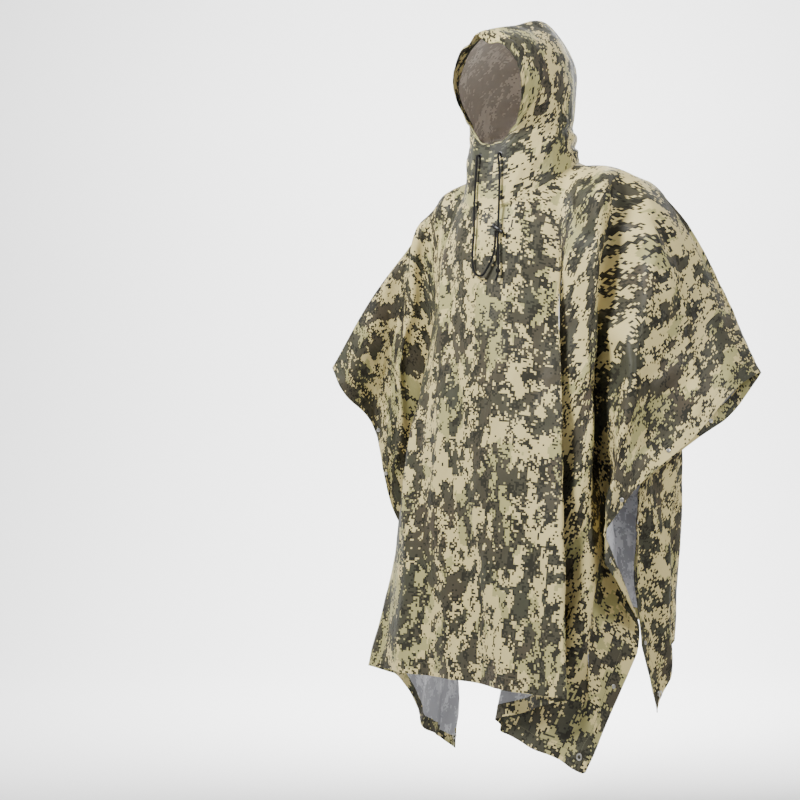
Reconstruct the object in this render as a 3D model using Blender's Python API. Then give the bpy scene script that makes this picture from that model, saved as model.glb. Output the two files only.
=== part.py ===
"""Rain poncho: one hemmed sheet with a hood, worn open over raised arms, as thin cloth walls.

Frame: metres, +Z up, the front faces -Y, the wearer's left is +X. The origin lies between the
shoulders, just below the sides of the neck.

The cloth is drawn by rails. A rail is one thread line of the sheet, from the neck or the shoulder
line down to the sheet's edge: it bends over the shoulder and then hangs straight. Between rails
the cloth is flat, and at each rail it is rounded, so a rail is the crest or the valley of a fold.
"""
import math
from collections import namedtuple

import bmesh
import bpy
import numpy as np
from mathutils import Matrix, Vector
from mathutils.bvhtree import BVHTree
from mathutils.geometry import barycentric_transform

# the cut of the sheet: s runs across from the centre, r runs away from the shoulder line
CUT_HALF_WIDTH = 0.725
CUT_HALF_LENGTH = 1.10
HEM = 0.027                     # width of the turned hems
CLOTH = 0.0015                  # wall of single cloth
TURNED = 0.0027                 # wall where the edge is turned
GAP = 0.0003                    # between pieces that meet
STEP_WIDTH = 0.002              # over which a wall thickens into its hem

# the neck hole, half an ellipse in each panel; its cut is a little smaller in depth
NECK_HALF_WIDTH = 0.120
NECK_SIDE_Z = 0.012             # height of the neck seam at the side of the neck
NECK_ALONG = 0.18               # the quarter of the neck edge counts as this far along the top edge
Neck = namedtuple("Neck", "cut_r y z slope side_slope side_spread")
NECK = {
    "front": Neck(0.150, -0.145, -0.085, -2.4, -0.85, 0.07),
    "back": Neck(0.085, 0.105, 0.035, -0.25, 0.12, 0.11),
}

# the line over the side of the neck, the shoulder and the arm; s is the place across the cut
Top = namedtuple("Top", "s x y z")
TOP_LEFT = (
    Top(0.120, 0.120, 0.000, NECK_SIDE_Z),
    Top(0.205, 0.195, 0.048, 0.007),
    Top(0.295, 0.262, 0.108, -0.042),
    Top(0.400, 0.319, 0.144, -0.136),
    Top(0.510, 0.366, 0.165, -0.236),
    Top(0.725, 0.460, 0.175, -0.415),
)
TOP_RIGHT = (
    Top(0.120, 0.120, 0.000, NECK_SIDE_Z),
    Top(0.205, 0.196, 0.015, -0.012),
    Top(0.295, 0.260, 0.010, -0.071),
    Top(0.510, 0.367, -0.060, -0.236),
    Top(0.725, 0.448, -0.110, -0.400),
)

# one row for each fold: start along the top edge, end on the cut, how far the cloth runs out
# over the shoulder before it falls, where its end hangs, how round the fold is (0 to 0.5), how
# much cloth has slid over the shoulder into it from the other panel, and how far it bows inwards
Rail = namedtuple("Rail", "name top cut_s cut_r reach x y soft slid bow", defaults=(0.0, 0.0))
FRONT_LEFT = (
    Rail("centre", 0.000, 0.000, 1.100, 0.050, 0.000, -0.215, 0.45),
    Rail("breast", 0.080, 0.130, 1.100, 0.060, 0.130, -0.240, 0.45),
    Rail("collar", 0.138, 0.195, 1.100, 0.075, 0.202, -0.246, 0.45, -0.010),
    Rail("front ridge", 0.180, 0.255, 1.100, 0.090, 0.265, -0.240, 0.20, -0.018),
    Rail("pleat back", 0.212, 0.485, 1.100, 0.102, 0.022, -0.172, 0.20, 0.035),
    Rail("corner", 0.255, 0.725, 1.100, 0.130, 0.275, -0.198, 0.30, 0.050),
    Rail("edge turn", 0.285, 0.725, 0.800, 0.120, 0.314, -0.040, 0.18, 0.050, 0.110),
    Rail("wing ridge", 0.306, 0.725, 0.560, 0.190, 0.292, -0.188, 0.20, 0.090),
    Rail("wing", 0.324, 0.725, 0.350, 0.160, 0.346, -0.115, 0.40, 0.095),
    Rail("wing upper", 0.340, 0.725, 0.210, 0.110, 0.420, -0.030, 0.45, 0.075),
    Rail("arm front", 0.348, 0.725, 0.090, 0.110, 0.458, 0.065, 0.45, 0.020),
    Rail("arm", 0.355, 0.725, 0.000, 0.000, 0.460, 0.175, 0.00),
)
FRONT_RIGHT = (
    Rail("centre", 0.000, 0.000, 1.100, 0.050, 0.000, -0.215, 0.45),
    Rail("breast", 0.080, 0.140, 1.100, 0.060, 0.140, -0.200, 0.45),
    Rail("collar", 0.138, 0.215, 1.100, 0.070, 0.222, -0.186, 0.45, -0.014),
    Rail("front ridge", 0.180, 0.300, 1.100, 0.080, 0.300, -0.155, 0.30, -0.024),
    Rail("pleat", 0.212, 0.425, 1.100, 0.080, 0.298, -0.038, 0.40, -0.010),
    Rail("tuck ridge", 0.238, 0.520, 1.100, 0.070, 0.311, 0.036, 0.30, 0.100),
    Rail("tuck", 0.262, 0.610, 1.100, 0.060, 0.318, 0.100, 0.40, 0.098),
    Rail("corner", 0.284, 0.725, 1.100, 0.060, 0.300, 0.150, 0.40, 0.092),
    Rail("edge turn", 0.300, 0.725, 0.800, 0.070, 0.290, 0.135, 0.30, 0.030),
    Rail("wing low", 0.313, 0.725, 0.560, 0.080, 0.358, 0.000, 0.35),
    Rail("wing tuck", 0.325, 0.725, 0.420, 0.075, 0.368, -0.030, 0.40),
    Rail("wing ridge", 0.334, 0.725, 0.300, 0.065, 0.386, -0.022, 0.40),
    Rail("wing upper", 0.341, 0.725, 0.190, 0.070, 0.394, -0.045, 0.40),
    Rail("arm front", 0.348, 0.725, 0.080, 0.110, 0.415, -0.112, 0.45),
    Rail("arm", 0.355, 0.725, 0.000, 0.000, 0.448, -0.110, 0.00),
)
BACK_LEFT = (
    Rail("centre", 0.000, 0.000, 1.100, 0.060, 0.000, 0.215, 0.45),
    Rail("blade", 0.080, 0.150, 1.100, 0.100, 0.150, 0.220, 0.45),
    Rail("collar", 0.138, 0.235, 1.100, 0.125, 0.225, 0.212, 0.45),
    Rail("back ridge", 0.180, 0.315, 1.100, 0.150, 0.262, 0.188, 0.35),
    Rail("pleat", 0.232, 0.425, 1.100, 0.130, 0.235, 0.135, 0.35),
    Rail("pleat ridge", 0.302, 0.560, 1.100, 0.180, 0.322, 0.080, 0.30, -0.105),
    Rail("corner", 0.314, 0.725, 1.100, 0.110, 0.335, -0.018, 0.35, -0.050),
    Rail("edge front", 0.322, 0.725, 0.850, 0.080, 0.298, -0.048, 0.30, -0.020),
    Rail("side ridge", 0.330, 0.725, 0.520, 0.090, 0.296, -0.045, 0.30),
    Rail("wing", 0.338, 0.725, 0.350, 0.080, 0.358, 0.075, 0.40),
    Rail("wing upper", 0.344, 0.725, 0.200, 0.080, 0.402, 0.165, 0.40, 0.028),
    Rail("arm back", 0.349, 0.725, 0.080, 0.110, 0.445, 0.210, 0.45),
    Rail("arm", 0.355, 0.725, 0.000, 0.000, 0.460, 0.175, 0.00),
)
BACK_RIGHT = (
    Rail("centre", 0.000, 0.000, 1.100, 0.060, 0.000, 0.215, 0.45),
    Rail("blade", 0.080, 0.150, 1.100, 0.100, 0.150, 0.215, 0.45),
    Rail("collar", 0.138, 0.232, 1.100, 0.110, 0.220, 0.212, 0.45),
    Rail("back ridge", 0.180, 0.310, 1.100, 0.120, 0.285, 0.200, 0.30),
    Rail("pleat", 0.212, 0.425, 1.100, 0.110, 0.215, 0.145, 0.30),
    Rail("pleat ridge", 0.244, 0.560, 1.100, 0.130, 0.322, 0.165, 0.30, -0.020),
    Rail("corner", 0.274, 0.725, 1.100, 0.120, 0.352, 0.085, 0.30, -0.040),
    Rail("edge front", 0.300, 0.725, 0.720, 0.110, 0.362, 0.045, 0.30),
    Rail("side ridge", 0.318, 0.725, 0.520, 0.110, 0.372, 0.115, 0.30),
    Rail("wing", 0.332, 0.725, 0.350, 0.090, 0.385, 0.090, 0.40),
    Rail("wing upper", 0.341, 0.725, 0.200, 0.080, 0.420, 0.050, 0.40),
    Rail("arm back", 0.348, 0.725, 0.080, 0.110, 0.440, -0.020, 0.45),
    Rail("arm", 0.355, 0.725, 0.000, 0.000, 0.448, -0.110, 0.00),
)
SIDES = {
    ("front", 1): FRONT_LEFT, ("front", -1): FRONT_RIGHT,
    ("back", 1): BACK_LEFT, ("back", -1): BACK_RIGHT,
}

# heights of the sections, as shares of each rail, above the hem
LEVELS = (0.0, 0.03, 0.065, 0.11, 0.17, 0.25, 0.36, 0.52, 0.72)
CORNER_COLUMNS = 3              # columns that round a fold
LONG_SPAN = 0.09                # flat cloth wider than this has a column in its middle
SOFT_TOP, SOFT_UNTIL = 0.45, 0.35   # folds start this round, and are their own from here down
SHARPEST = 0.15                 # sine of half the sharpest angle that a fold is drawn with

# the hood: each hoop runs from the neck seam up over the cheek to the seam over the crown
Hoop = namedtuple("Hoop", "name foot_deg jaw cheek temple brow ridge")
HOOD_HOOPS = (
    Hoop("face", 0, (0.000, -0.124, 0.049), (0.057, -0.113, 0.092), (0.086, -0.136, 0.172),
         (0.060, -0.151, 0.236), (0.000, -0.175, 0.265)),
    Hoop("chin", 24, (0.050, -0.113, 0.050), (0.070, -0.096, 0.098), (0.099, -0.108, 0.179),
         (0.067, -0.113, 0.250), (0.000, -0.125, 0.286)),
    Hoop("ear", 60, (0.106, -0.050, 0.062), (0.106, -0.050, 0.115), (0.104, -0.048, 0.192),
         (0.070, -0.046, 0.268), (0.000, -0.045, 0.310)),
    Hoop("crown", 100, (0.106, 0.010, 0.065), (0.104, 0.018, 0.118), (0.092, 0.040, 0.192),
         (0.056, 0.063, 0.276), (0.000, 0.085, 0.341)),
    Hoop("back", 130, (0.084, 0.065, 0.080), (0.062, 0.085, 0.130), (0.050, 0.114, 0.172),
         (0.030, 0.150, 0.215), (0.000, 0.199, 0.264)),
    Hoop("nape", 155, (0.045, 0.108, 0.085), (0.036, 0.124, 0.104), (0.028, 0.138, 0.118),
         (0.018, 0.155, 0.130), (0.000, 0.178, 0.142)),
    Hoop("foot", 180, (0.000, 0.120, 0.055), (0.000, 0.127, 0.065), (0.000, 0.132, 0.073),
         (0.000, 0.137, 0.080), (0.000, 0.142, 0.088)),
)
HOOP_STEPS = 3                  # rows between the named points of a hoop
WIDEST_HOOD_STEP = 8.0          # degrees round the neck seam between columns
CHANNEL_DEGREES = 14.0          # the turned face edge ends at this place round the neck seam
CHANNEL_STEP_DEGREES = 1.5

# metal set through the cloth: a barrel in a hole, with a flange on each face
Setting = namedtuple("Setting", "bore barrel flange lip grip")
EYELET = Setting(0.0038, 0.0050, 0.0072, 0.0009, 0.0066)
SNAP = Setting(0.0, 0.0016, 0.0046, 0.0014, 0.0056)
CORD_EYELET = Setting(0.0022, 0.0034, 0.0052, 0.0007, 0.0034)
SIDES_ROUND = 12                # sides of every round piece
HOLE_CLEARANCE = 0.0006
EYELET_INSET = 0.0235            # from both edges of the cut
SNAP_INSET = 0.0135             # from the side edge
SNAP_PLACES = (0.27, 0.43, 0.61, 0.92)  # along the side edge from the arm line
CORD_EXIT = (0.027, -0.136, 0.030)      # near the lowest point of the face opening

# the drawcord hangs from the two eyelets: one strand runs down through the lock to a knot, the
# other hangs in a loop and comes back up into the lock from below
CORD_DIAMETER = 0.003
CORD_STEPS = 3                  # points to each row of a route
CORDS = {
    "drawcord_left": (
        (0.0251, -0.1188, 0.0273), (0.0261, -0.1281, 0.0287), (0.0272, -0.1320, 0.0240),
        (0.0290, -0.1330, 0.0140), (0.0325, -0.1345, -0.0157),
        (0.0365, -0.1415, -0.0674), (0.0412, -0.1500, -0.1080), (0.0460, -0.1542, -0.1226)),
    "drawcord_right": (
        (-0.0251, -0.1188, 0.0273), (-0.0261, -0.1281, 0.0287), (-0.0266, -0.1320, 0.0240),
        (-0.0262, -0.1330, 0.0140), (-0.0258, -0.1372, -0.0232),
        (-0.0213, -0.1475, -0.0756), (-0.0105, -0.1630, -0.1305), (-0.0097, -0.1695, -0.1786),
        (-0.0043, -0.1730, -0.2095), (0.0058, -0.1735, -0.2211), (0.0166, -0.1710, -0.2213),
        (0.0245, -0.1682, -0.2105), (0.0352, -0.1630, -0.1865), (0.0390, -0.1592, -0.1620),
        (0.0376, -0.1555, -0.1335)),
    "drawcord_tail": (
        (0.0414, -0.1549, -0.1356), (0.0449, -0.1575, -0.1500), (0.0475, -0.1598, -0.1808),
        (0.0500, -0.1629, -0.2073)),
    "drawcord_end": (
        (0.0510, -0.1645, -0.2189), (0.0492, -0.1652, -0.2255), (0.0455, -0.1658, -0.2330)),
}
LOCK_CENTRE = (0.0427, -0.1545, -0.1285)
LOCK_AXIS = (0.816, 0.104, -0.569)
KNOT_CENTRE = (0.0505, -0.1637, -0.2131)
KNOT_AXIS = (-0.092, 0.140, 0.986)
Turned = namedtuple("Turned", "radius along")
LOCK = (
    Turned(0.0, -0.0135), Turned(0.0040, -0.0135), Turned(0.0053, -0.0120), Turned(0.0053, 0.0035),
    Turned(0.0044, 0.0046), Turned(0.0034, 0.0048), Turned(0.0034, 0.0082), Turned(0.0046, 0.0090),
    Turned(0.0046, 0.0120), Turned(0.0036, 0.0132), Turned(0.0, 0.0132))
KNOT = (
    Turned(0.0, -0.0052), Turned(0.0026, -0.0050), Turned(0.0042, -0.0028), Turned(0.0036, 0.0),
    Turned(0.0043, 0.0028), Turned(0.0026, 0.0050), Turned(0.0, 0.0052))

PRINT = (0.30, 0.29, 0.20, 1.0)
METAL = (0.45, 0.44, 0.40, 1.0)
BLACK = (0.015, 0.015, 0.015, 1.0)


def unit(v):
    v = np.asarray(v, float)
    return v / np.linalg.norm(v)


def hermite(places, points, at):
    """Smooth curve through points that lie at the given places, read at one place."""
    places = np.asarray(places, float)
    points = np.asarray(points, float)
    slope = np.empty_like(points)
    slope[1:-1] = (points[2:] - points[:-2]) / (places[2:] - places[:-2])[:, None]
    slope[0] = (points[1] - points[0]) / (places[1] - places[0])
    slope[-1] = (points[-1] - points[-2]) / (places[-1] - places[-2])
    i = int(np.clip(np.searchsorted(places, at) - 1, 0, len(places) - 2))
    h = places[i + 1] - places[i]
    t = (at - places[i]) / h
    return (
        (2 * t ** 3 - 3 * t ** 2 + 1) * points[i] + (t ** 3 - 2 * t ** 2 + t) * h * slope[i]
        + (-2 * t ** 3 + 3 * t ** 2) * points[i + 1] + (t ** 3 - t ** 2) * h * slope[i + 1])


def shoulder_line(side, s):
    """The line over shoulder and arm, at a distance s across the cut, on the +X side."""
    rows = TOP_LEFT if side > 0 else TOP_RIGHT
    return hermite([row.s for row in rows], [row[1:] for row in rows], s)


def top_edge(panel, side, top):
    """Point on a panel's top edge, and its place (s, r) on the cut, on the +X side."""
    forward = -1.0 if panel == "front" else 1.0
    if top >= NECK_ALONG:
        s = NECK_HALF_WIDTH + top - NECK_ALONG
        point = shoulder_line(side, s)
        point[1] += forward * GAP / 2
        return point, (s, 0.0)
    neck = NECK[panel]
    turn = math.pi / 2 * top / NECK_ALONG
    across, depth = math.sin(turn), math.cos(turn)
    point = np.array([NECK_HALF_WIDTH * across, neck.y * depth, neck.z * depth + NECK_SIDE_Z * across])
    point[1] += forward * GAP / 2
    return point, (NECK_HALF_WIDTH * across, neck.cut_r * depth)


def rail_points(row, panel, side, shares):
    """Points of one rail at shares of its length, as rows of x, y, z, s, r."""
    forward = -1.0 if panel == "front" else 1.0
    if row.cut_r == 0:
        places = row.top + (CUT_HALF_WIDTH - NECK_HALF_WIDTH - row.top + NECK_ALONG) * shares
        edge = [top_edge(panel, side, place) for place in places]
        return np.array([[*point, *flat] for point, flat in edge])
    start, cut_start = top_edge(panel, side, row.top)
    cut_run = np.array([row.cut_s - cut_start[0], row.cut_r - cut_start[1]])
    cut_length = float(np.hypot(*cut_run))
    length = cut_length + row.slid
    depth = math.cos(math.pi / 2 * min(1.0, row.top / NECK_ALONG))
    beside = max(row.top, NECK_ALONG)
    along = unit(top_edge(panel, side, beside + 0.01)[0] - top_edge(panel, side, beside)[0])
    beside_neck = max(0.0, 1 - abs(row.top - NECK_ALONG) / NECK[panel].side_spread)
    slope = NECK[panel].slope * depth + NECK[panel].side_slope * beside_neck
    out = unit(np.array([0.0, forward, slope]))
    leave = unit(cut_run[0] / cut_length * along + cut_run[1] / cut_length * out)
    turn = start + leave * row.reach
    end = np.array([row.x, row.y, turn[2] - length])
    t = np.linspace(0, 1, 20)[:, None]
    for _ in range(12):
        fall = end - turn
        knee = turn + unit(fall) * min(row.reach, np.linalg.norm(fall) / 2)
        bend = (1 - t) ** 2 * start + 2 * t * (1 - t) * turn + t ** 2 * knee
        hang = length - np.linalg.norm(np.diff(bend, axis=0), axis=1).sum()
        end[2] = knee[2] - math.sqrt(max(hang ** 2 - np.sum((end - knee)[:2] ** 2), 0.0))
    line = np.vstack([bend, end])
    run = np.concatenate([[0], np.cumsum(np.linalg.norm(np.diff(line, axis=0), axis=1))])
    place = np.array([np.interp(shares * run[-1], run, line[:, k]) for k in range(3)]).T
    place[:, 0] -= row.bow * 4 * shares * (1 - shares)
    cut = np.array(cut_start) + cut_run * shares[:, None]
    return np.hstack([place, cut])


def hem_shares(row):
    """Shares of a rail at which its wall starts and ends its step into the hem."""
    start = top_edge("front", 1, row.top)[1][0]
    across = row.cut_s - start if row.cut_s >= CUT_HALF_WIDTH else math.inf
    down = row.cut_r if row.cut_r >= CUT_HALF_LENGTH else math.inf
    reach = min(across, down)
    return 1 - (HEM + STEP_WIDTH) / reach, 1 - HEM / reach


def rounded(rails, softness):
    """Columns through rails (rail, level, 5): flat between rails, an arc at each of them."""
    columns = [rails[0]]
    for before, here, after, soft in zip(rails, rails[1:], rails[2:], softness[1:]):
        back, ahead = before - here, after - here
        back_run = np.linalg.norm(back[:, 3:], axis=1)[:, None]
        ahead_run = np.linalg.norm(ahead[:, 3:], axis=1)[:, None]
        half = soft[:, None] * np.minimum(back_run, ahead_run)
        first, last = here + back / back_run * half, here + ahead / ahead_run * half
        if np.linalg.norm((first - columns[-1])[-1, 3:]) > LONG_SPAN:
            columns.append((columns[-1] + first) / 2)
        down = np.gradient(here[:, :3], axis=0)
        down /= np.linalg.norm(down, axis=1)[:, None]
        legs = []
        for leg in (back[:, :3], ahead[:, :3]):
            leg = leg - down * np.sum(leg * down, axis=1)[:, None]
            legs.append(leg / np.maximum(np.linalg.norm(leg, axis=1), 1e-9)[:, None])
        weight = np.sqrt(np.clip(1 - np.sum(legs[0] * legs[1], axis=1), 0, 2) / 2)[:, None]
        weight = np.maximum(weight, SHARPEST)
        for t in np.linspace(0, 1, CORNER_COLUMNS):
            share = (1 - t) ** 2, 2 * t * (1 - t) * weight, t ** 2
            total = share[0] + share[1] + share[2]
            columns.append((share[0] * first + share[1] * here + share[2] * last) / total)
    columns.append(rails[-1])
    return columns


def half_panel(panel, side):
    """Columns of half a panel from the centre to the arm, on its own side."""
    rows = SIDES[(panel, side)]
    rails, softness = [], []
    for row in rows:
        shares = np.array(LEVELS + hem_shares(row) + (1.0,))
        rails.append(rail_points(row, panel, side, shares))
        soft = row.soft + (SOFT_TOP - row.soft) * np.clip(1 - shares / SOFT_UNTIL, 0, 1) ** 2
        if row.name == "corner":
            soft *= 1 - 0.93 * shares ** 4
        softness.append(soft)
    columns = rounded(rails, softness)
    neck_side = min(columns, key=lambda column: abs(column[0, 3] - NECK_HALF_WIDTH))
    neck_side[0, 3] = NECK_HALF_WIDTH
    for column in columns:
        s = column[0, 3]
        if s < NECK_HALF_WIDTH - 1e-6:
            top = NECK_ALONG * math.asin(max(s, 0.0) / NECK_HALF_WIDTH) / (math.pi / 2)
        else:
            top = s - NECK_HALF_WIDTH + NECK_ALONG
        point, flat = top_edge(panel, side, top)
        column[0] = [*point, *flat]
    grid = np.array(columns)
    grid[:, :, 0] *= side
    grid[:, :, 3] *= side
    return grid


def panel_grid(panel):
    """Outer surface of a panel as (column, level, 5), from the wearer's right to the left."""
    right, left = half_panel(panel, -1), half_panel(panel, 1)
    return np.concatenate([right[::-1], left[1:]])


def slopes(points, axis):
    """Directions along one way of a grid, halfway between the edges that meet at a point."""
    step = np.diff(points, axis=axis)
    step /= np.maximum(np.linalg.norm(step, axis=2), 1e-9)[:, :, None]
    lead, trail = [(0, 0)] * 3, [(0, 0)] * 3
    lead[axis], trail[axis] = (1, 0), (0, 1)
    return np.pad(step, lead, mode="edge") + np.pad(step, trail, mode="edge")


def normals_of(points, flip):
    """Unit normals of a grid of points, each the mean of the cells round it."""
    across = points[1:, 1:] - points[:-1, :-1]
    against = points[:-1, 1:] - points[1:, :-1]
    cell = np.cross(across, against)
    cell /= np.maximum(np.linalg.norm(cell, axis=2), 1e-12)[:, :, None]
    cell = np.pad(cell, ((1, 1), (1, 1), (0, 0)), mode="edge")
    normal = cell[1:, 1:] + cell[:-1, 1:] + cell[1:, :-1] + cell[:-1, :-1]
    normal /= np.maximum(np.linalg.norm(normal, axis=2), 1e-9)[:, :, None]
    return -normal if flip else normal


def seam_normal(x, y):
    """Outward direction that the hood and the panels share along the neck seam."""
    around = unit([x / NECK_HALF_WIDTH, y / abs(NECK["front" if y < 0 else "back"].y), 0.0])
    return unit(around + np.array([0.0, 0.0, 0.7 + 0.2 * around[1]]))


def arm_normal(side, s):
    """Outward direction that both panels share along the shoulder line."""
    along = shoulder_line(side, s + 0.005) - shoulder_line(side, s - 0.005)
    along[0] *= side
    normal = np.cross(along, (-along[1], along[0], 0.0))
    return unit(normal)


def triangles(columns, levels, turned):
    """Corners of the triangles of a grid. The last strip may be cut along its other diagonals."""
    index = np.arange(columns * levels).reshape(columns, levels)
    faces = []
    for i in range(columns - 1):
        for j in range(levels - 1):
            a, b, c, d = index[i, j], index[i + 1, j], index[i + 1, j + 1], index[i, j + 1]
            plain = i < columns - 1 - turned
            faces += [(a, b, c), (a, c, d)] if plain else [(a, b, d), (b, c, d)]
    return [tuple(int(v) for v in face) for face in faces]


def wall(name, outer, inner, material, turned):
    """A closed wall between two grids of points."""
    columns, levels = outer.shape[:2]
    mesh = bpy.data.meshes.new(name)
    shift = columns * levels
    index = np.arange(shift).reshape(columns, levels)
    faces = triangles(columns, levels, turned)
    faces += [tuple(v + shift for v in face[::-1]) for face in faces]
    rim = list(index[:, 0]) + list(index[-1, 1:]) + list(index[-2::-1, -1]) + list(index[0, -2:0:-1])
    for a, b in zip(rim, rim[1:] + rim[:1]):
        faces.append((b, a, a + shift, b + shift))
    points = np.vstack([outer.reshape(-1, 3), inner.reshape(-1, 3)])
    mesh.from_pydata(points.tolist(), [], [tuple(int(v) for v in face) for face in faces])
    tidy = bmesh.new()
    tidy.from_mesh(mesh)
    bmesh.ops.recalc_face_normals(tidy, faces=tidy.faces)
    tidy.to_mesh(mesh)
    tidy.free()
    mesh.shade_smooth()
    piece = bpy.data.objects.new(name, mesh)
    piece.data.materials.append(material)
    bpy.context.collection.objects.link(piece)
    return piece


def make_panel(panel, material):
    """One half of the sheet, with its turned hems, and its outer grid."""
    grid = panel_grid(panel)
    outer = grid[:, :, :3]
    normal = normals_of(outer, panel == "front")
    for column, level in np.argwhere(np.abs(grid[:, :, 4]) < 1e-9):
        s = grid[column, level, 3]
        normal[column, level] = arm_normal(1 if s > 0 else -1, abs(s))
    for i in np.flatnonzero(np.abs(grid[:, 0, 3]) < NECK_HALF_WIDTH + 1e-6):
        normal[i, 0] = seam_normal(*outer[i, 0, :2])
    depth = np.full(outer.shape[:2], CLOTH)
    depth[:, -2:] = TURNED
    inner = outer - normal * depth[:, :, None]
    return wall(panel + "_panel", outer, inner, material, 1), grid, normal


def neck_angles():
    """Places round the neck seam, in degrees from the front, where the panels have columns."""
    angles = set()
    for panel, start, way in (("front", 0, 1), ("back", 180, -1)):
        for s in half_panel(panel, 1)[:, 0, 3]:
            if s <= NECK_HALF_WIDTH + 1e-6:
                angles.add(round(start + way * math.degrees(math.asin(min(1, s / NECK_HALF_WIDTH))), 4))
    return sorted(angles)


def hood_places():
    """Places round the neck seam where the hood has columns, and the point of each on the seam."""
    shared = neck_angles()
    places = {}
    for angle in shared:
        panel = "front" if angle <= 90 else "back"
        turn = math.radians(angle)
        across, depth = math.sin(turn), abs(math.cos(turn))
        places[angle] = np.array([NECK_HALF_WIDTH * across, NECK[panel].y * depth,
                                  NECK[panel].z * depth + NECK_SIDE_Z * across])
    extra = [CHANNEL_DEGREES - CHANNEL_STEP_DEGREES, CHANNEL_DEGREES]
    extra += [(a + b) / 2 for a, b in zip(shared[1:], shared[2:]) if b - a > WIDEST_HOOD_STEP]
    for angle in extra:
        before = max(a for a in shared if a < angle)
        after = min(a for a in shared if a > angle)
        share = (angle - before) / (after - before)
        places[angle] = places[before] * (1 - share) + places[after] * share
    return sorted(places.items())


def hood_grid():
    """Outer surface of the hood's left half, (place round the neck, row up the hoop, 3)."""
    degrees = [hoop.foot_deg for hoop in HOOD_HOOPS]
    rows = np.linspace(0, 5, HOOP_STEPS * 5 + 1)
    columns = []
    for angle, foot in hood_places():
        marks = [hermite(degrees, [getattr(hoop, name) for hoop in HOOD_HOOPS], angle)
                 for name in ("jaw", "cheek", "temple", "brow", "ridge")]
        columns.append([foot + (marks[0] - foot) * row if row < 1 else
                        hermite(range(1, 6), marks, row) for row in rows])
    grid = np.array(columns)
    grid[0, :HOOP_STEPS + 1, 0] = 0
    return grid


def make_hood_half(name, side, material):
    """Half of the hood; its face edge is turned, and it meets the other half at x = 0."""
    outer = hood_grid()
    normal = normals_of(outer, False)
    around = slopes(outer, 0)
    for i in range(len(outer)):
        normal[i, 0] = seam_normal(*outer[i, 0, :2])
        outer[i, 0] += unit(np.cross(normal[i, 0], around[i, 0])) * GAP
    depth = np.full(outer.shape[:2], CLOTH)
    depth[:2, HOOP_STEPS:] = TURNED
    inner = outer - normal * depth[:, :, None]
    for grid in (outer, inner):
        grid[0, :HOOP_STEPS + 1, 0] = GAP / 2
        grid[:, -1, 0] = GAP / 2
        grid[-1, :, 0] = GAP / 2
        grid[:, :, 0] *= side
    return wall(name, outer, inner, material, 0), outer, normal


def material(name, colour, roughness, metallic=0.0):
    made = bpy.data.materials.new(name)
    made.use_nodes = True
    shader = made.node_tree.nodes["Principled BSDF"]
    shader.inputs["Base Color"].default_value = colour
    shader.inputs["Roughness"].default_value = roughness
    shader.inputs["Metallic"].default_value = metallic
    return made


def surface_tree(points, turned):
    """Search tree over a grid of points, two triangles a cell, and those triangles' corners."""
    corners = triangles(*points.shape[:2], turned)
    return BVHTree.FromPolygons(points.reshape(-1, 3).tolist(), corners), corners


def at_cut(grid, normals, s, r):
    """Point of a panel's outer surface at a place on the cut, the way its wall runs in from
    there, and the outward normal of the flat cloth round it."""
    flat = np.concatenate([grid[:, :, 3:], np.zeros(grid.shape[:2] + (1,))], axis=2)
    tree, corners = surface_tree(flat, 1)
    spot, _, face, _ = tree.find_nearest((s, r, 0.0))
    corner = list(corners[face])
    flat_corners = [Vector(v) for v in flat.reshape(-1, 3)[corner]]
    real_corners = [Vector(v) for v in grid[:, :, :3].reshape(-1, 3)[corner]]
    point = barycentric_transform(spot, *flat_corners, *real_corners)
    sides = [Vector(v) for v in normals.reshape(-1, 3)[corner]]
    inward = -barycentric_transform(spot, *flat_corners, *sides)
    normal = (real_corners[1] - real_corners[0]).cross(real_corners[2] - real_corners[0])
    return point, inward.normalized(), normal.normalized()


def turned_piece(name, profile, centre, axis, material):
    """A round solid from a profile of (radius, place along the axis)."""
    mesh = bpy.data.meshes.new(name)
    work = bmesh.new()
    rings = []
    for radius, place in profile:
        if radius == 0:
            rings.append([work.verts.new((0, 0, place))])
            continue
        angles = [2 * math.pi * k / SIDES_ROUND for k in range(SIDES_ROUND)]
        rings.append([work.verts.new((radius * math.cos(t), radius * math.sin(t), place)) for t in angles])
    closed = profile[0][0] > 0
    for low, high in zip(rings, rings[1:] + (rings[:1] if closed else [])):
        for k in range(SIDES_ROUND):
            after = (k + 1) % SIDES_ROUND
            corners = [low[k % len(low)], low[after % len(low)], high[after % len(high)], high[k % len(high)]]
            work.faces.new(list(dict.fromkeys(corners)))
    bmesh.ops.recalc_face_normals(work, faces=work.faces)
    turn = Vector(axis).to_track_quat("Z", "Y").to_matrix().to_4x4()
    bmesh.ops.transform(work, matrix=Matrix.Translation(centre) @ turn, verts=work.verts)
    work.to_mesh(mesh)
    work.free()
    mesh.shade_smooth()
    piece = bpy.data.objects.new(name, mesh)
    bpy.context.collection.objects.link(piece)
    if material:
        piece.data.materials.append(material)
    return piece


def make_setting(name, kind, point, inward, normal, material, cutters):
    """A metal piece through the cloth, and the cutter of its hole."""
    centre = Vector(point) + Vector(inward) * (TURNED / 2)
    half, top = kind.grip / 2, kind.grip / 2 + kind.lip
    profile = [(kind.bore, -top), (kind.flange, -top), (kind.flange, -half), (kind.barrel, -half),
               (kind.barrel, half), (kind.flange, half), (kind.flange, top), (kind.bore, top)]
    hole = kind.barrel + HOLE_CLEARANCE
    cutter = [(0, -3 * TURNED), (hole, -3 * TURNED), (hole, 3 * TURNED), (0, 3 * TURNED)]
    cutters.append(turned_piece(name + "_cutter", cutter, centre, normal, None))
    return turned_piece(name, profile, centre, normal, material)


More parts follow.
